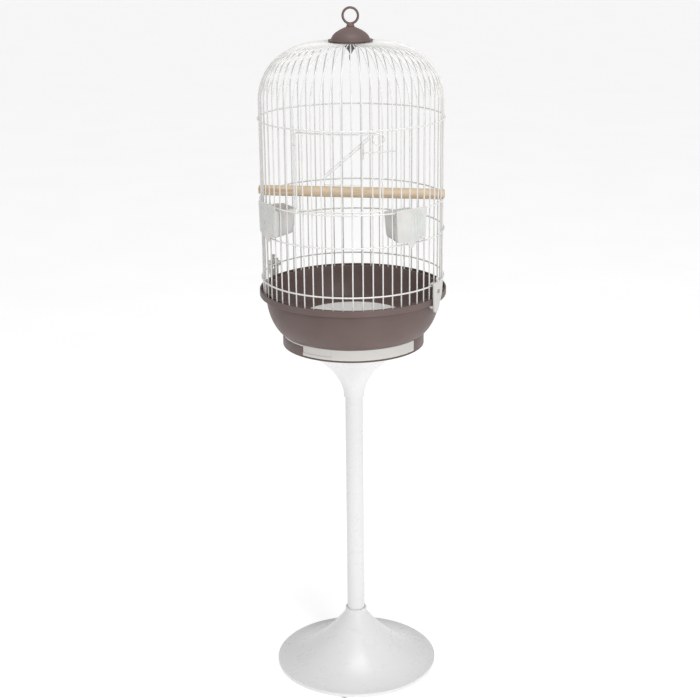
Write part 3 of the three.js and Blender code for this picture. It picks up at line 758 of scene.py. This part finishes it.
def cup_loop(inset_by, front, back, z, rise, corner):
    """A level or tilted loop round a cup, front edge at y = -front and back edge at y = -back."""
    front_half = CUP_FRONT_HALF - inset_by
    back_half = CUP_BACK_HALF - inset_by
    outline = fillet([
        (-front_half, -front, 1.2), (front_half, -front, 1.2),
        (back_half, -back, corner), (-back_half, -back, corner),
    ], closed=True, steps=6)
    loop = []
    for x, y in outline:
        share = (y + front) / (front - back)
        loop.append((x * MM, y * MM, (z + rise * share) * MM))
    return loop


def cup_bowl():
    """The tapered box of a cup, outside up and inside down, its floor rising towards the back."""
    low, high = 860, 907.5
    wall = 2
    back_top, back_low = 120.4, 126.2
    rise = 5
    loops = []
    for inset_by, z in ((6, low), (2.6, low + 0.5), (0.8, low + 2.2), (0, low + 5)):
        loops.append(cup_loop(inset_by, CUP_FRONT, back_low + inset_by, z, rise, 7))
    for inset_by, z in ((0, high - 0.6), (0.5, high), (wall - 0.5, high), (wall, high - 0.6)):
        loops.append(cup_loop(inset_by, CUP_FRONT, back_top + inset_by, z, 0, 7))
    for inset_by, z in ((wall, low + 7), (wall + 1.4, low + 4), (wall + 5, low + 3)):
        loops.append(cup_loop(inset_by, CUP_FRONT - 1, back_low + inset_by, z, rise, 6))
    return loft(loops)


def cup_panel():
    """The wide panel in front of a cup, with its tab below."""
    top, top_half = 916, 33
    foot, foot_half = 861, 30
    tab_z, tab_half = 849.1, 4.5
    neck_z, neck_half = 858, 9
    front, back = 165.3, 163.4
    outline = fillet([
        (-top_half, top, 4), (-foot_half, foot, 5), (-neck_half, neck_z, 2), (-tab_half, tab_z, 3),
        (tab_half, tab_z, 3), (neck_half, neck_z, 2), (foot_half, foot, 5), (top_half, top, 4),
    ], closed=True)
    return slab(outline, back, front, edge=0.7)


def cup_rib(side, x):
    """One moulded rib on a panel: a slope, then straight down."""
    y = -165.1
    points = [(side * (x - 8.5), y, 912), (side * x, y, 902), (side * x, y, 865)]
    path = [[c * MM for c in point] for point in points]
    return sweep(rounded_path(path, 2.5 * MM), 0.75 * MM, sides=8)


def feeder_cup(body_name):
    """A seed cup: a tapered box behind a wide front panel with a tab and four ribs."""
    wire = CUP_WIRES[body_name]
    side = math.copysign(1, wire)
    place = spin(wire * PITCH)
    form = Form()
    form.add(*cup_bowl(), place)
    form.add(*cup_panel(), place @ UPRIGHT)
    rib_pitch = 6
    for k in range(1, 5):
        form.add(*cup_rib(side, rib_pitch * k), place)
    obj = form.piece(f"seed_{body_name}")
    return dress(obj, CUP_PLASTIC, body_name, "cup_plastic", "feeder_" + body_name)


def perch():
    """A turned rod whose slotted ends go over a wire and rest on the ring below."""
    half = 164.5
    radius = 9.3
    belly = 9.4
    height = 918
    shift = 2
    slot_half, slot_start = 1.8, 156
    rest_start, rest_top = 159.4, 913
    beyond = 170
    profile = fillet([(0, -half, 0), (radius, -half, 1.8), (belly, 0, 0), (radius, half, 1.8), (0, half, 0)])
    turn = spin(PERCH_WIRE * PITCH)
    lay = turn @ Matrix.Translation((0, shift * MM, height * MM)) @ Matrix.Rotation(math.pi / 2, 4, "X")
    obj = Form().add(*revolve(profile, 64), lay).piece("wooden_perch")
    cutters = []
    for side in (-1, 1):
        near, far = sorted((side * slot_start, side * beyond))
        cutters.append(block(f"perch_slot_{side}", (-slot_half, near, 900), (slot_half, far, 940), turn))
        near, far = sorted((side * rest_start, side * beyond))
        cutters.append(block(f"perch_rest_{side}", (-20, near, 880), (20, far, rest_top), turn))
    return dress(carve(obj, cutters), WOOD, "cage", "perch_wood", "perch")


# ---- Cap, ring, cone and hook --------------------------------------------------------------------
def dome_cap():
    """A bell-shaped cap with a flat brim and a hole for the ring's neck."""
    low, top = 1179.2, 1203
    brim, brim_height, root = 38.5, 2, 34
    outer_radius, inner_radius, hole = 33, 31, 4
    roundness = 1.8
    wall = 2.5
    collar_radius = 7.6
    crown = hole + 0.4
    foot = low + brim_height
    outer = []
    inner = []
    steps = 14
    for k in range(steps + 1):
        angle = math.pi / 2 * k / steps
        spread = max(math.cos(angle), 0) ** roundness
        outer.append((crown + (outer_radius - crown) * spread, foot + (top - foot) * math.sin(angle)))
        inner.append((hole + (inner_radius - hole) * spread, low + (top - low - wall) * math.sin(angle)))
    rim = fillet([
        (inner_radius, low, 0), (brim, low, 0.7), (brim, foot, 0.7), (root, foot, 0.8), outer[1] + (0,),
    ])
    dome = [point for point in outer[2:] if point[0] > collar_radius + 0.1]
    collar = [
        (collar_radius, top - 0.8), (collar_radius - 0.3, top - 0.1), (collar_radius - 1, top),
        (hole + 0.2, top), (hole, top - 0.3),
    ]
    profile = rim + dome + collar + inner[::-1]
    obj = Form().add(*revolve(profile, 128)).piece("cap_shell")
    return dress(obj, TAUPE, "cage", "taupe_plastic", "dome_cap")


def ring_torus():
    """The upright ring, its hole along Y."""
    centre_z = 1221 * MM
    circle = 13.2
    bar = 2.1
    sides = 20
    steps = 72
    verts = []
    faces = []
    for i in range(steps):
        angle = 2 * math.pi * i / steps
        out = Vector((math.cos(angle), 0, math.sin(angle)))
        for k in range(sides):
            around = 2 * math.pi * k / sides
            offset = out * (circle + bar * math.cos(around)) + Vector((0, 1, 0)) * (bar * math.sin(around))
            verts.append(tuple(offset * MM + Vector((0, 0, centre_z))))
    for i in range(steps):
        n = (i + 1) % steps
        for k in range(sides):
            m = (k + 1) % sides
            faces.append((i * sides + k, i * sides + m, n * sides + m, n * sides + k))
    return verts, faces


def hanging_ring():
    """The ring with its neck, which turns in the cap's hole."""
    low, seat = 1177.9, 1203.5
    stem = 3
    neck = [
        (0, low), (stem, low), (stem, seat - 0.2), (stem + 0.2, seat), (6.7, seat), (6.95, 1203.9),
        (6.6, 1204.6), (6.2, 1205.4), (6.1, 1206.6), (5.6, 1207.7), (4.6, 1208.6), (3.2, 1209.2), (0, 1209.4),
    ]
    form = Form()
    form.add(*ring_torus())
    form.add(*revolve(neck, 48))
    return dress(form.piece("ring_eye"), TAUPE, "ring", "taupe_plastic", "hanging_ring")


def cap_cone():
    """The black cone under the cap: a flange, then a waist down to a blunt tip."""
    tip, top = 1157, 1177.5
    flange = 12.4
    profile = fillet([
        (0, tip, 0), (1.7, tip, 0.5), (4.3, 1162.5, 6), (10.6, 1169, 1.5), (flange, 1170.1, 0.6),
        (flange, top, 0.9), (0, top, 0),
    ])
    obj = Form().add(*revolve(profile, 64)).piece("hook_cone")
    return dress(obj, BLACK_PLASTIC, "ring", "black_plastic", "cap_cone")


def swing_hook():
    """A steel hook under the cone, open to the front."""
    bend = 5
    centre_z = 1152.6
    top, straight_end = 1156.7, 1155.2
    half_turns = 1.25
    steps = 25
    points = [(0, 0, top), (0, 0, straight_end)]
    for k in range(steps + 1):
        angle = math.pi * (1 + half_turns * k / steps)
        points.append((0, -bend - bend * math.cos(angle), centre_z + bend * math.sin(angle)))
    points = [tuple(c * MM for c in point) for point in points]
    obj = Form().add(*sweep(points, 1.05 * MM, sides=14)).piece("steel_hook")
    return dress(obj, STEEL, "ring", "hook_steel", "swing_hook")


# ---- Tray, floor grid, drawer and clips ----------------------------------------------------------
RIM = 166.3
RIM_INNER = 163.5
LIP_Z = 737
RIM_Z = 748
GROOVE_Z = 739.5
FOOT_RADIUS = 127
FOOT_LOW = 644
BOWL_END_Z = 667.2
BOWL_WALL = 2.5
TRAY_FLOOR_Z = 690
DRAWER_HALF = 98
DRAWER_TOP = 666.4
WING_LOW = 663.4
WING_END = 271


def bowl_radius(z):
    """The bowl's outline is a quarter of an ellipse, widest at the lip."""
    core, bulge, depth = 105, 50, 79
    return core + bulge * math.sqrt(1 - ((LIP_Z - z) / depth) ** 2)


def bowl(start, end, offset, steps):
    heights = [start + (end - start) * k / steps for k in range(steps + 1)]
    return [(bowl_radius(z) - offset, z) for z in heights]


def tray_rim():
    """From the bowl's lip over the rim and down into the groove that the wires stand in."""
    kerb_outer, kerb_inner, kerb_z = 155.7, 153.4, 746.4
    return fillet([
        (bowl_radius(LIP_Z) - 0.2, LIP_Z - 1.5, 0), (bowl_radius(LIP_Z), LIP_Z, 0.8), (RIM, LIP_Z, 1.2),
        (RIM, RIM_Z, 1.6), (RIM_INNER, RIM_Z, 1.0), (RIM_INNER, GROOVE_Z, 1.2), (kerb_outer, GROOVE_Z, 1.2),
        (kerb_outer, kerb_z, 0.8), (kerb_inner, kerb_z, 0.9), (152.2, 735.5, 0),
    ])


def tray_bowl():
    """The bowl with its rim, and a round hole in its floor with a step for the floor plate."""
    hole, step, step_z, under_z = 92, 98, 688.5, 686.5
    under_wall = 2.7
    outer = bowl(BOWL_END_Z, LIP_Z, 0, 20)
    shoulder = [
        (FOOT_RADIUS - BOWL_WALL, BOWL_END_Z - 0.2), (FOOT_RADIUS, BOWL_END_Z - 0.2),
        (FOOT_RADIUS, BOWL_END_Z), (bowl_radius(BOWL_END_Z), BOWL_END_Z + 0.6),
    ]
    inner = bowl(735, TRAY_FLOOR_Z + 4, BOWL_WALL, 14)
    floor = fillet([
        inner[-1] + (0,), (bowl_radius(TRAY_FLOOR_Z) - BOWL_WALL, TRAY_FLOOR_Z, 5), (step, TRAY_FLOOR_Z, 0.4),
        (step, step_z, 0.2), (hole, step_z, 0.4), (hole, under_z, 0.4),
        (bowl_radius(under_z) - under_wall, under_z, 0),
    ])
    under = bowl(under_z - 0.5, BOWL_END_Z + 3, under_wall, 6)
    closing = [(FOOT_RADIUS - BOWL_WALL, BOWL_END_Z + 3)]
    profile = shoulder + outer[1:-1] + tray_rim() + inner[1:-1] + floor + under + closing
    return revolve(profile, 192)


def foot_wall(wall_top, start, end):
    """A sector of the foot's wall, from one azimuth to another."""
    inner = FOOT_RADIUS - BOWL_WALL
    foot_z = FOOT_LOW + 2
    outline = [
        (inner, foot_z), (FOOT_RADIUS - 0.3, foot_z), (FOOT_RADIUS, foot_z + 0.4), (FOOT_RADIUS, wall_top),
        (inner, wall_top),
    ]
    return revolve(outline, 90, DRAWER_AZIMUTH + start, DRAWER_AZIMUTH + end)


def tray():
    """The bowl, the foot wall that leaves the drawer's window and the wing's slot free, and the bottom."""
    window_edge = math.degrees(math.asin((DRAWER_HALF + 0.6) / FOOT_RADIUS))
    form = Form()
    form.add(*tray_bowl())
    form.add(*foot_wall(BOWL_END_Z, window_edge, WING_END))
    form.add(*foot_wall(WING_LOW - 0.3, WING_END, 360 - window_edge))
    form.add(*revolve(disc_outline(FOOT_RADIUS, FOOT_LOW, FOOT_LOW + 2.5, 0.8, 0.5), 128))
    return dress(form.piece("tray_bowl"), TAUPE, "cage", "taupe_plastic", "tray")


def floor_grid():
    """The white floor plate, with five slots in its middle."""
    radius = 97.4
    low, high = TRAY_FLOOR_Z - 1.2, TRAY_FLOOR_Z + 1.2
    slot_pitch, slot_half, slot_circle, slot_end = 9, 1.5, 27, 1.45
    obj = Form().add(*revolve(disc_outline(radius, low, high, 0.5, 0.6), 96)).piece("slotted_floor")
    cuts = Form()
    for i in range(-2, 3):
        x = i * slot_pitch
        half = math.sqrt(slot_circle**2 - x**2)
        left, right = x - slot_half, x + slot_half
        corners = [(left, -half), (right, -half), (right, half), (left, half)]
        outline = fillet([corner + (slot_end,) for corner in corners], closed=True, steps=3)
        cuts.add(*slab(outline, low - 2, high + 2, edge=0.01, steps=1))
    return dress(carve(obj, [cuts.piece("grid_slots")]), GRID_PLASTIC, "grid", "white_plastic", "floor_grid")


def drawer_loop(inset_by, z, grip=0.0):
    """The drawer's outline in plan at one height: straight sides, a round back, an arc in front."""
    half = DRAWER_HALF - inset_by
    front = FOOT_RADIUS - 0.3 - inset_by
    back_steps, front_steps = 32, 48
    grip_edge, grip_slope = -52.0, 0.6
    points = []
    for k in range(back_steps + 1):
        angle = math.pi * k / back_steps
        points.append((half * math.cos(angle), half * math.sin(angle)))
    edge = math.asin(half / front)
    grip_ends = (grip_edge - grip_slope, grip_edge + grip_slope)
    shares = {k / front_steps for k in range(front_steps + 1)}
    shares |= {(math.asin(x / front) + edge) / (2 * edge) for x in grip_ends}
    for share in sorted(shares):
        angle = -edge + 2 * edge * share
        depth = grip if front * math.sin(angle) < grip_edge else 0.0
        points.append(((front - depth) * math.sin(angle), -(front - depth) * math.cos(angle)))
    return [(x * MM, y * MM, z * MM) for x, y in points]


def drawer_box():
    """The drawer, outside up and inside down, by levels: the inset, the height and the grip's depth."""
    low, ledge = 647, 652.6
    wall = 2
    grip = 0.9
    outside = [(0.9, low, 0), (0.3, low + 0.2, 0), (0, low + 0.8, 0), (0, ledge, 0), (0, ledge + 0.6, grip)]
    edge = [
        (0, DRAWER_TOP - 1.6, grip), (0, DRAWER_TOP - 1.2, grip), (0.3, DRAWER_TOP - 0.2, grip),
        (0.8, DRAWER_TOP, grip), (1.3, DRAWER_TOP, 0.5), (wall, DRAWER_TOP - 0.4, 0),
    ]
    inside = [(wall, low + 4, 0), (wall + 0.6, low + 2.6, 0), (2 * wall, low + 2, 0)]
    return loft([drawer_loop(inset_by, z, depth) for inset_by, z, depth in outside + edge + inside])


def drawer_wing():
    """The thin wing at the drawer's side, which runs in the foot's slot."""
    radius = FOOT_RADIUS - 0.4
    inner = DRAWER_HALF - 1.5
    back = 7
    steps = 20
    start = math.asin(inner / radius)
    end = math.acos(back / radius)
    arc = [start + (end - start) * k / steps for k in range(steps + 1)]
    outline = [(-radius * math.sin(a), -radius * math.cos(a)) for a in arc] + [(-inner, -back)]
    return slab(outline, WING_LOW + 0.05, DRAWER_TOP - 0.05, edge=0.4, steps=2)


def drawer():
    form = Form()
    form.add(*drawer_box(), spin(DRAWER_AZIMUTH))
    form.add(*drawer_wing(), spin(DRAWER_AZIMUTH))
    obj = form.piece("litter_drawer", sharp=30)
    return dress(obj, WHITE_PLASTIC, "drawer", "white_plastic", "drawer")


CLIP_EYE_Z = 783
CLIP_LEAN = 6


def clip_outline():
    """The lever's plate from the front: wide at the top, leaning to a narrow end, with an eye on top."""
    half, top, waist_z = 14, 777, 756
    knee_half, knee_z = 7, 730
    end_half, end_z = 4.5, 725
    eye_radius, stem = 3.3, 2.1
    steps = 20
    lift = math.sqrt(eye_radius**2 - stem**2)
    start = math.atan2(-lift, stem)
    around = [start + (math.pi - 2 * start) * k / steps for k in range(steps + 1)]
    eye = [(eye_radius * math.cos(a), CLIP_EYE_Z + eye_radius * math.sin(a), 0) for a in around]
    left = [(-half, top, 3), (-half, waist_z, 8), (-CLIP_LEAN - knee_half, knee_z, 3)]
    end = [(-CLIP_LEAN - end_half, end_z, 3), (-CLIP_LEAN + end_half, end_z, 3)]
    right = [(-CLIP_LEAN + knee_half, knee_z, 3), (half, waist_z, 8), (half, top, 3)]
    return fillet(left + end + right + [(stem, top, 0.8)] + eye + [(-stem, top, 0.8)], closed=True)


def clip_cuts():
    """What is cut out of the plate: a window and the eye's bore."""
    half, low, high = 4.5, 757.5, 764.5
    bore_radius = 1.4
    window = fillet([(-half, low, 1.2), (half, low, 1.2), (half, high, 1.2), (-half, high, 1.2)], closed=True)
    angles = [math.pi * k / 8 for k in range(16)]
    bore = [(bore_radius * math.cos(a), CLIP_EYE_Z + bore_radius * math.sin(a)) for a in angles]
    cuts = Form()
    for outline in (window, bore):
        cuts.add(*slab(outline, 160, 180, edge=0.01, steps=1), UPRIGHT)
    return cuts


def clip_head():
    """The hook behind the plate, over the lowest ring, as (y, z) points."""
    ring_y = -RING_CIRCLE / MM
    ring_z = RING_Z[3] / MM
    inner, reach = 2.2, 4.4
    plate = -169.5
    return fillet([
        (ring_y + reach, ring_z - 4.0, 1.2), (ring_y + reach, ring_z + reach, 3),
        (plate, ring_z + reach, 0.3), (plate, ring_z - reach, 0.3),
        (ring_y - inner, ring_z - reach, 0.6), (ring_y - inner, ring_z, 0.6),
        (ring_y - 1.1, ring_z + 1.9, 0.8), (ring_y + 1.1, ring_z + 1.9, 0.8), (ring_y + inner, ring_z, 0.6),
        (ring_y + inner, ring_z - 4.0, 0.6),
    ], closed=True, steps=3)


def clip_toe():
    """The toe behind the plate, under the tray's lip, as (y, z) points."""
    tip, plate, top = -161.6, -169.4, 736.2
    return fillet([
        (tip, 733, 0.8), (tip, top, 0.8), (plate, top, 0.2), (plate, 731.5, 0.2), (-164, 731.5, 1.5),
    ], closed=True, steps=3)


def clip(name):
    """A lever hooked on the lowest ring: a plate with a window and a small eye, its hook and its toe."""
    back, front = 168.2, 172.6
    head_half, toe_half = 6, 6.5
    turn = spin(CLIP_AZIMUTHS[name])
    sideways = turn @ Matrix(((0, 0, 1, 0), (1, 0, 0, 0), (0, 1, 0, 0), (0, 0, 0, 1)))
    body = Form().add(*slab(clip_outline(), back, front, edge=1.0), UPRIGHT).piece(name + "_plate")
    carve(body, [clip_cuts().piece(name + "_cuts")])
    whole = Form()
    whole.add([v.co for v in body.data.vertices], [tuple(p.vertices) for p in body.data.polygons], turn)
    whole.add(*slab(clip_head(), -head_half, head_half, edge=0.4, steps=2), sideways)
    whole.add(*slab(clip_toe(), -CLIP_LEAN - toe_half, -CLIP_LEAN + toe_half, edge=0.4, steps=2), sideways)
    bpy.data.objects.remove(body)
    return dress(whole.piece(name + "_lever"), WHITE_PLASTIC, name, "white_plastic", name)


# ---- Stand ---------------------------------------------------------------------------------------
def stand_flare():
    """The funnel under the cage: its radius grows with the square of the height."""
    neck, low, rim, rim_z, top = 18.6, 540, 96, 636, 643.6
    bore = 16.5
    wall = 3

    def curve(offset, steps):
        points = []
        for k in range(steps + 1):
            share = k / steps
            points.append((neck + (rim - neck) * share**2 - offset, low + (rim_z - low) * share + offset / 2))
        return points

    outer = curve(0, 30)
    inner = [point for point in curve(wall, 20)[::-1] if point[0] > bore + 0.9]
    profile = [(bore, low + 0.4), (bore + 0.4, low), (neck - 0.3, low), (neck + 0.1, low + 0.4)] + outer[1:-1]
    profile += fillet([(rim - 3, rim_z - 1.8, 0), (rim, rim_z, 1.0), (rim, top, 1.2), (0, top, 0)])[1:]
    profile += [(0, top - wall), (rim - 4, top - wall)] + inner[1:] + [(bore, low + 14)]
    obj = Form().add(*revolve(profile, 160)).piece("flare_shell")
    return dress(obj, STAND_PLASTIC, "stand", "stand_plastic", "stand_flare")


def stand_tube():
    inner, outer = 14.2, 16.2
    low, high = 88, 580
    obj = Form().add(*revolve(tube_outline(inner, outer, low, high, 0.4, 0.6), 96)).piece("stand_post")
    return dress(obj, STAND_PLASTIC, "stand", "stand_plastic", "stand_tube")


def base_cover():
    """The trumpet base: a hollow shell that sweeps from a collar round the tube to a wide rim."""
    radius, rim_z, rim_low, rim_inner = 151.5, 9, 2.7, 133.5
    collar, collar_z, bore, bore_low = 19.9, 112, 16.5, 84
    throat = 24.9
    wall = 3
    drop, power = 94, 1.9
    steps, crowding = 60, 1.6
    outer = []
    for k in range(steps + 1):
        share = (k / steps) ** crowding
        outer.append((collar + (radius - collar) * share, rim_z + drop * (1 - share) ** power))
    inner = [(r, z - wall) for r, z in outer if throat < r < rim_inner - 2.5]
    rim = fillet([
        (rim_inner, 8, 0.5), (rim_inner, rim_low, 0.6), (radius - 0.6, rim_low, 1.2),
        (radius, rim_z + 0.4, 1.4), outer[-4] + (0,),
    ])
    top = fillet([
        outer[2] + (0,), (collar + 0.1, 103.3, 1.2), (collar, collar_z, 1.0), (bore, collar_z, 0.5),
        (bore, bore_low, 0),
    ])
    profile = rim + outer[::-1][4:-3] + top + [(throat, bore_low)] + inner
    obj = Form().add(*revolve(profile, 192)).piece("base_shell")
    return dress(obj, STAND_PLASTIC, "stand", "stand_plastic", "base_cover")


def ballast():
    inner, outer = 46, 106
    low, high = 5, 15
    profile = fillet([(inner, low, 1), (outer, low, 1), (outer, high, 1.5), (inner, high, 1.5)], closed=True)
    obj = Form().add(*revolve(profile, 96)).piece("ballast_ring")
    return dress(obj, IRON, "stand", "ballast", "base_ballast")


def foot(number):
    """A rubber pad with a slightly flared top, under the base's rim."""
    low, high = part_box(f"foot_{number}")
    centre = (low + high) / 2
    sole, top_radius, height = 7.2, 8, 2.4
    profile = fillet([(0, 0, 0), (sole, 0, 0.5), (top_radius, height, 0.3), (0, height, 0)])
    place = Matrix.Translation((centre.x, centre.y, 0))
    obj = Form().add(*revolve(profile, 40), place).piece(f"pad_{number}")
    return dress(obj, RUBBER, "stand", "foot_rubber", f"foot_{number}")


# ---- Camera, light and floor ---------------------------------------------------------------------
def camera():
    """A long lens a little to the right of the door and above the perch, looking slightly down."""
    azimuth = 1.5 * PITCH
    distance = 2.53
    height = 1.435
    look_down, look_left, lean = 17.7, 0.146, -0.61
    data = bpy.data.cameras.new("camera")
    data.sensor_width = 36
    data.lens = 75.34
    obj = bpy.data.objects.new("camera", data)
    bpy.context.scene.collection.objects.link(obj)
    obj.location = polar(distance, azimuth, height)
    tilt = Matrix.Rotation(math.radians(90 - look_down), 4, "X")
    yaw = Matrix.Rotation(math.radians(azimuth + look_left), 4, "Z")
    roll = Matrix.Rotation(math.radians(lean), 4, "Z")
    obj.rotation_euler = (yaw @ tilt @ roll).to_euler()
    bpy.context.scene.camera = obj


def area_light(name, place, target, size, power):
    data = bpy.data.lights.new(name, "AREA")
    data.shape = "RECTANGLE"
    data.size = size[0]
    data.size_y = size[1]
    data.energy = power
    obj = bpy.data.objects.new(name, data)
    obj.location = place
    aim = Vector(target) - Vector(place)
    obj.rotation_euler = aim.to_track_quat("-Z", "Y").to_euler()
    bpy.context.scene.collection.objects.link(obj)


def studio():
    """A pale dome that is white at the horizon and dimmer above, with two soft lights."""
    scene = bpy.context.scene
    scene.view_settings.view_transform = "Standard"
    scene.view_settings.look = "None"
    world = bpy.data.worlds.new("studio")
    world.use_nodes = True
    nodes = world.node_tree.nodes
    links = world.node_tree.links
    split = nodes.new("ShaderNodeSeparateXYZ")
    links.new(nodes.new("ShaderNodeTexCoord").outputs["Generated"], split.inputs["Vector"])
    sky = nodes.new("ShaderNodeMapRange")
    for name, value in zip(("From Min", "From Max", "To Min", "To Max"), (0.1, 0.4, 1.0, 0.48)):
        sky.inputs[name].default_value = value
    links.new(split.outputs["Z"], sky.inputs["Value"])
    links.new(sky.outputs["Result"], nodes["Background"].inputs["Strength"])
    nodes["Background"].inputs["Color"].default_value = (1, 1, 1, 1)
    scene.world = world
    area_light("key", (1.7, -2.7, 2.0), (0, 0, 0.7), (0.9, 0.9), 38)
    area_light("top", (0.3, -0.7, 3.1), (0, 0, 0.3), (1.2, 1.2), 32)


def floor():
    """A wide floor that glows a little, so that it stays as white as the dome's horizon."""
    size = 30
    corners = [(-size, -size, 0), (size, -size, 0), (size, size, 0), (-size, size, 0)]
    data = bpy.data.meshes.new("floor")
    data.from_pydata(corners, [], [(0, 1, 2, 3)])
    obj = bpy.data.objects.new("floor", data)
    bpy.context.scene.collection.objects.link(obj)
    look = Material("studio_floor").set(Roughness=0.8, Specular_IOR_Level=0.1, Emission_Strength=0.55)
    look.set(Emission_Color=(1, 1, 1, 1))
    base = look.ramp(look.noise(3, detail=2), (0.4, 0.69), (0.6, 0.71))
    data.materials.append(look.finish(Base_Color=base))


# ---- The whole -----------------------------------------------------------------------------------
camera()
studio()
floor()
wirework()
hub()
front_door()
door_brace()
door_latch()
door_loop()
for cup_body in CUP_WIRES:
    feeder_cup(cup_body)
perch()
dome_cap()
hanging_ring()
cap_cone()
swing_hook()
tray()
floor_grid()
drawer()
for clip_name in CLIP_AZIMUTHS:
    clip(clip_name)
stand_flare()
stand_tube()
base_cover()
ballast()
for foot_number in range(1, 6):
    foot(foot_number)
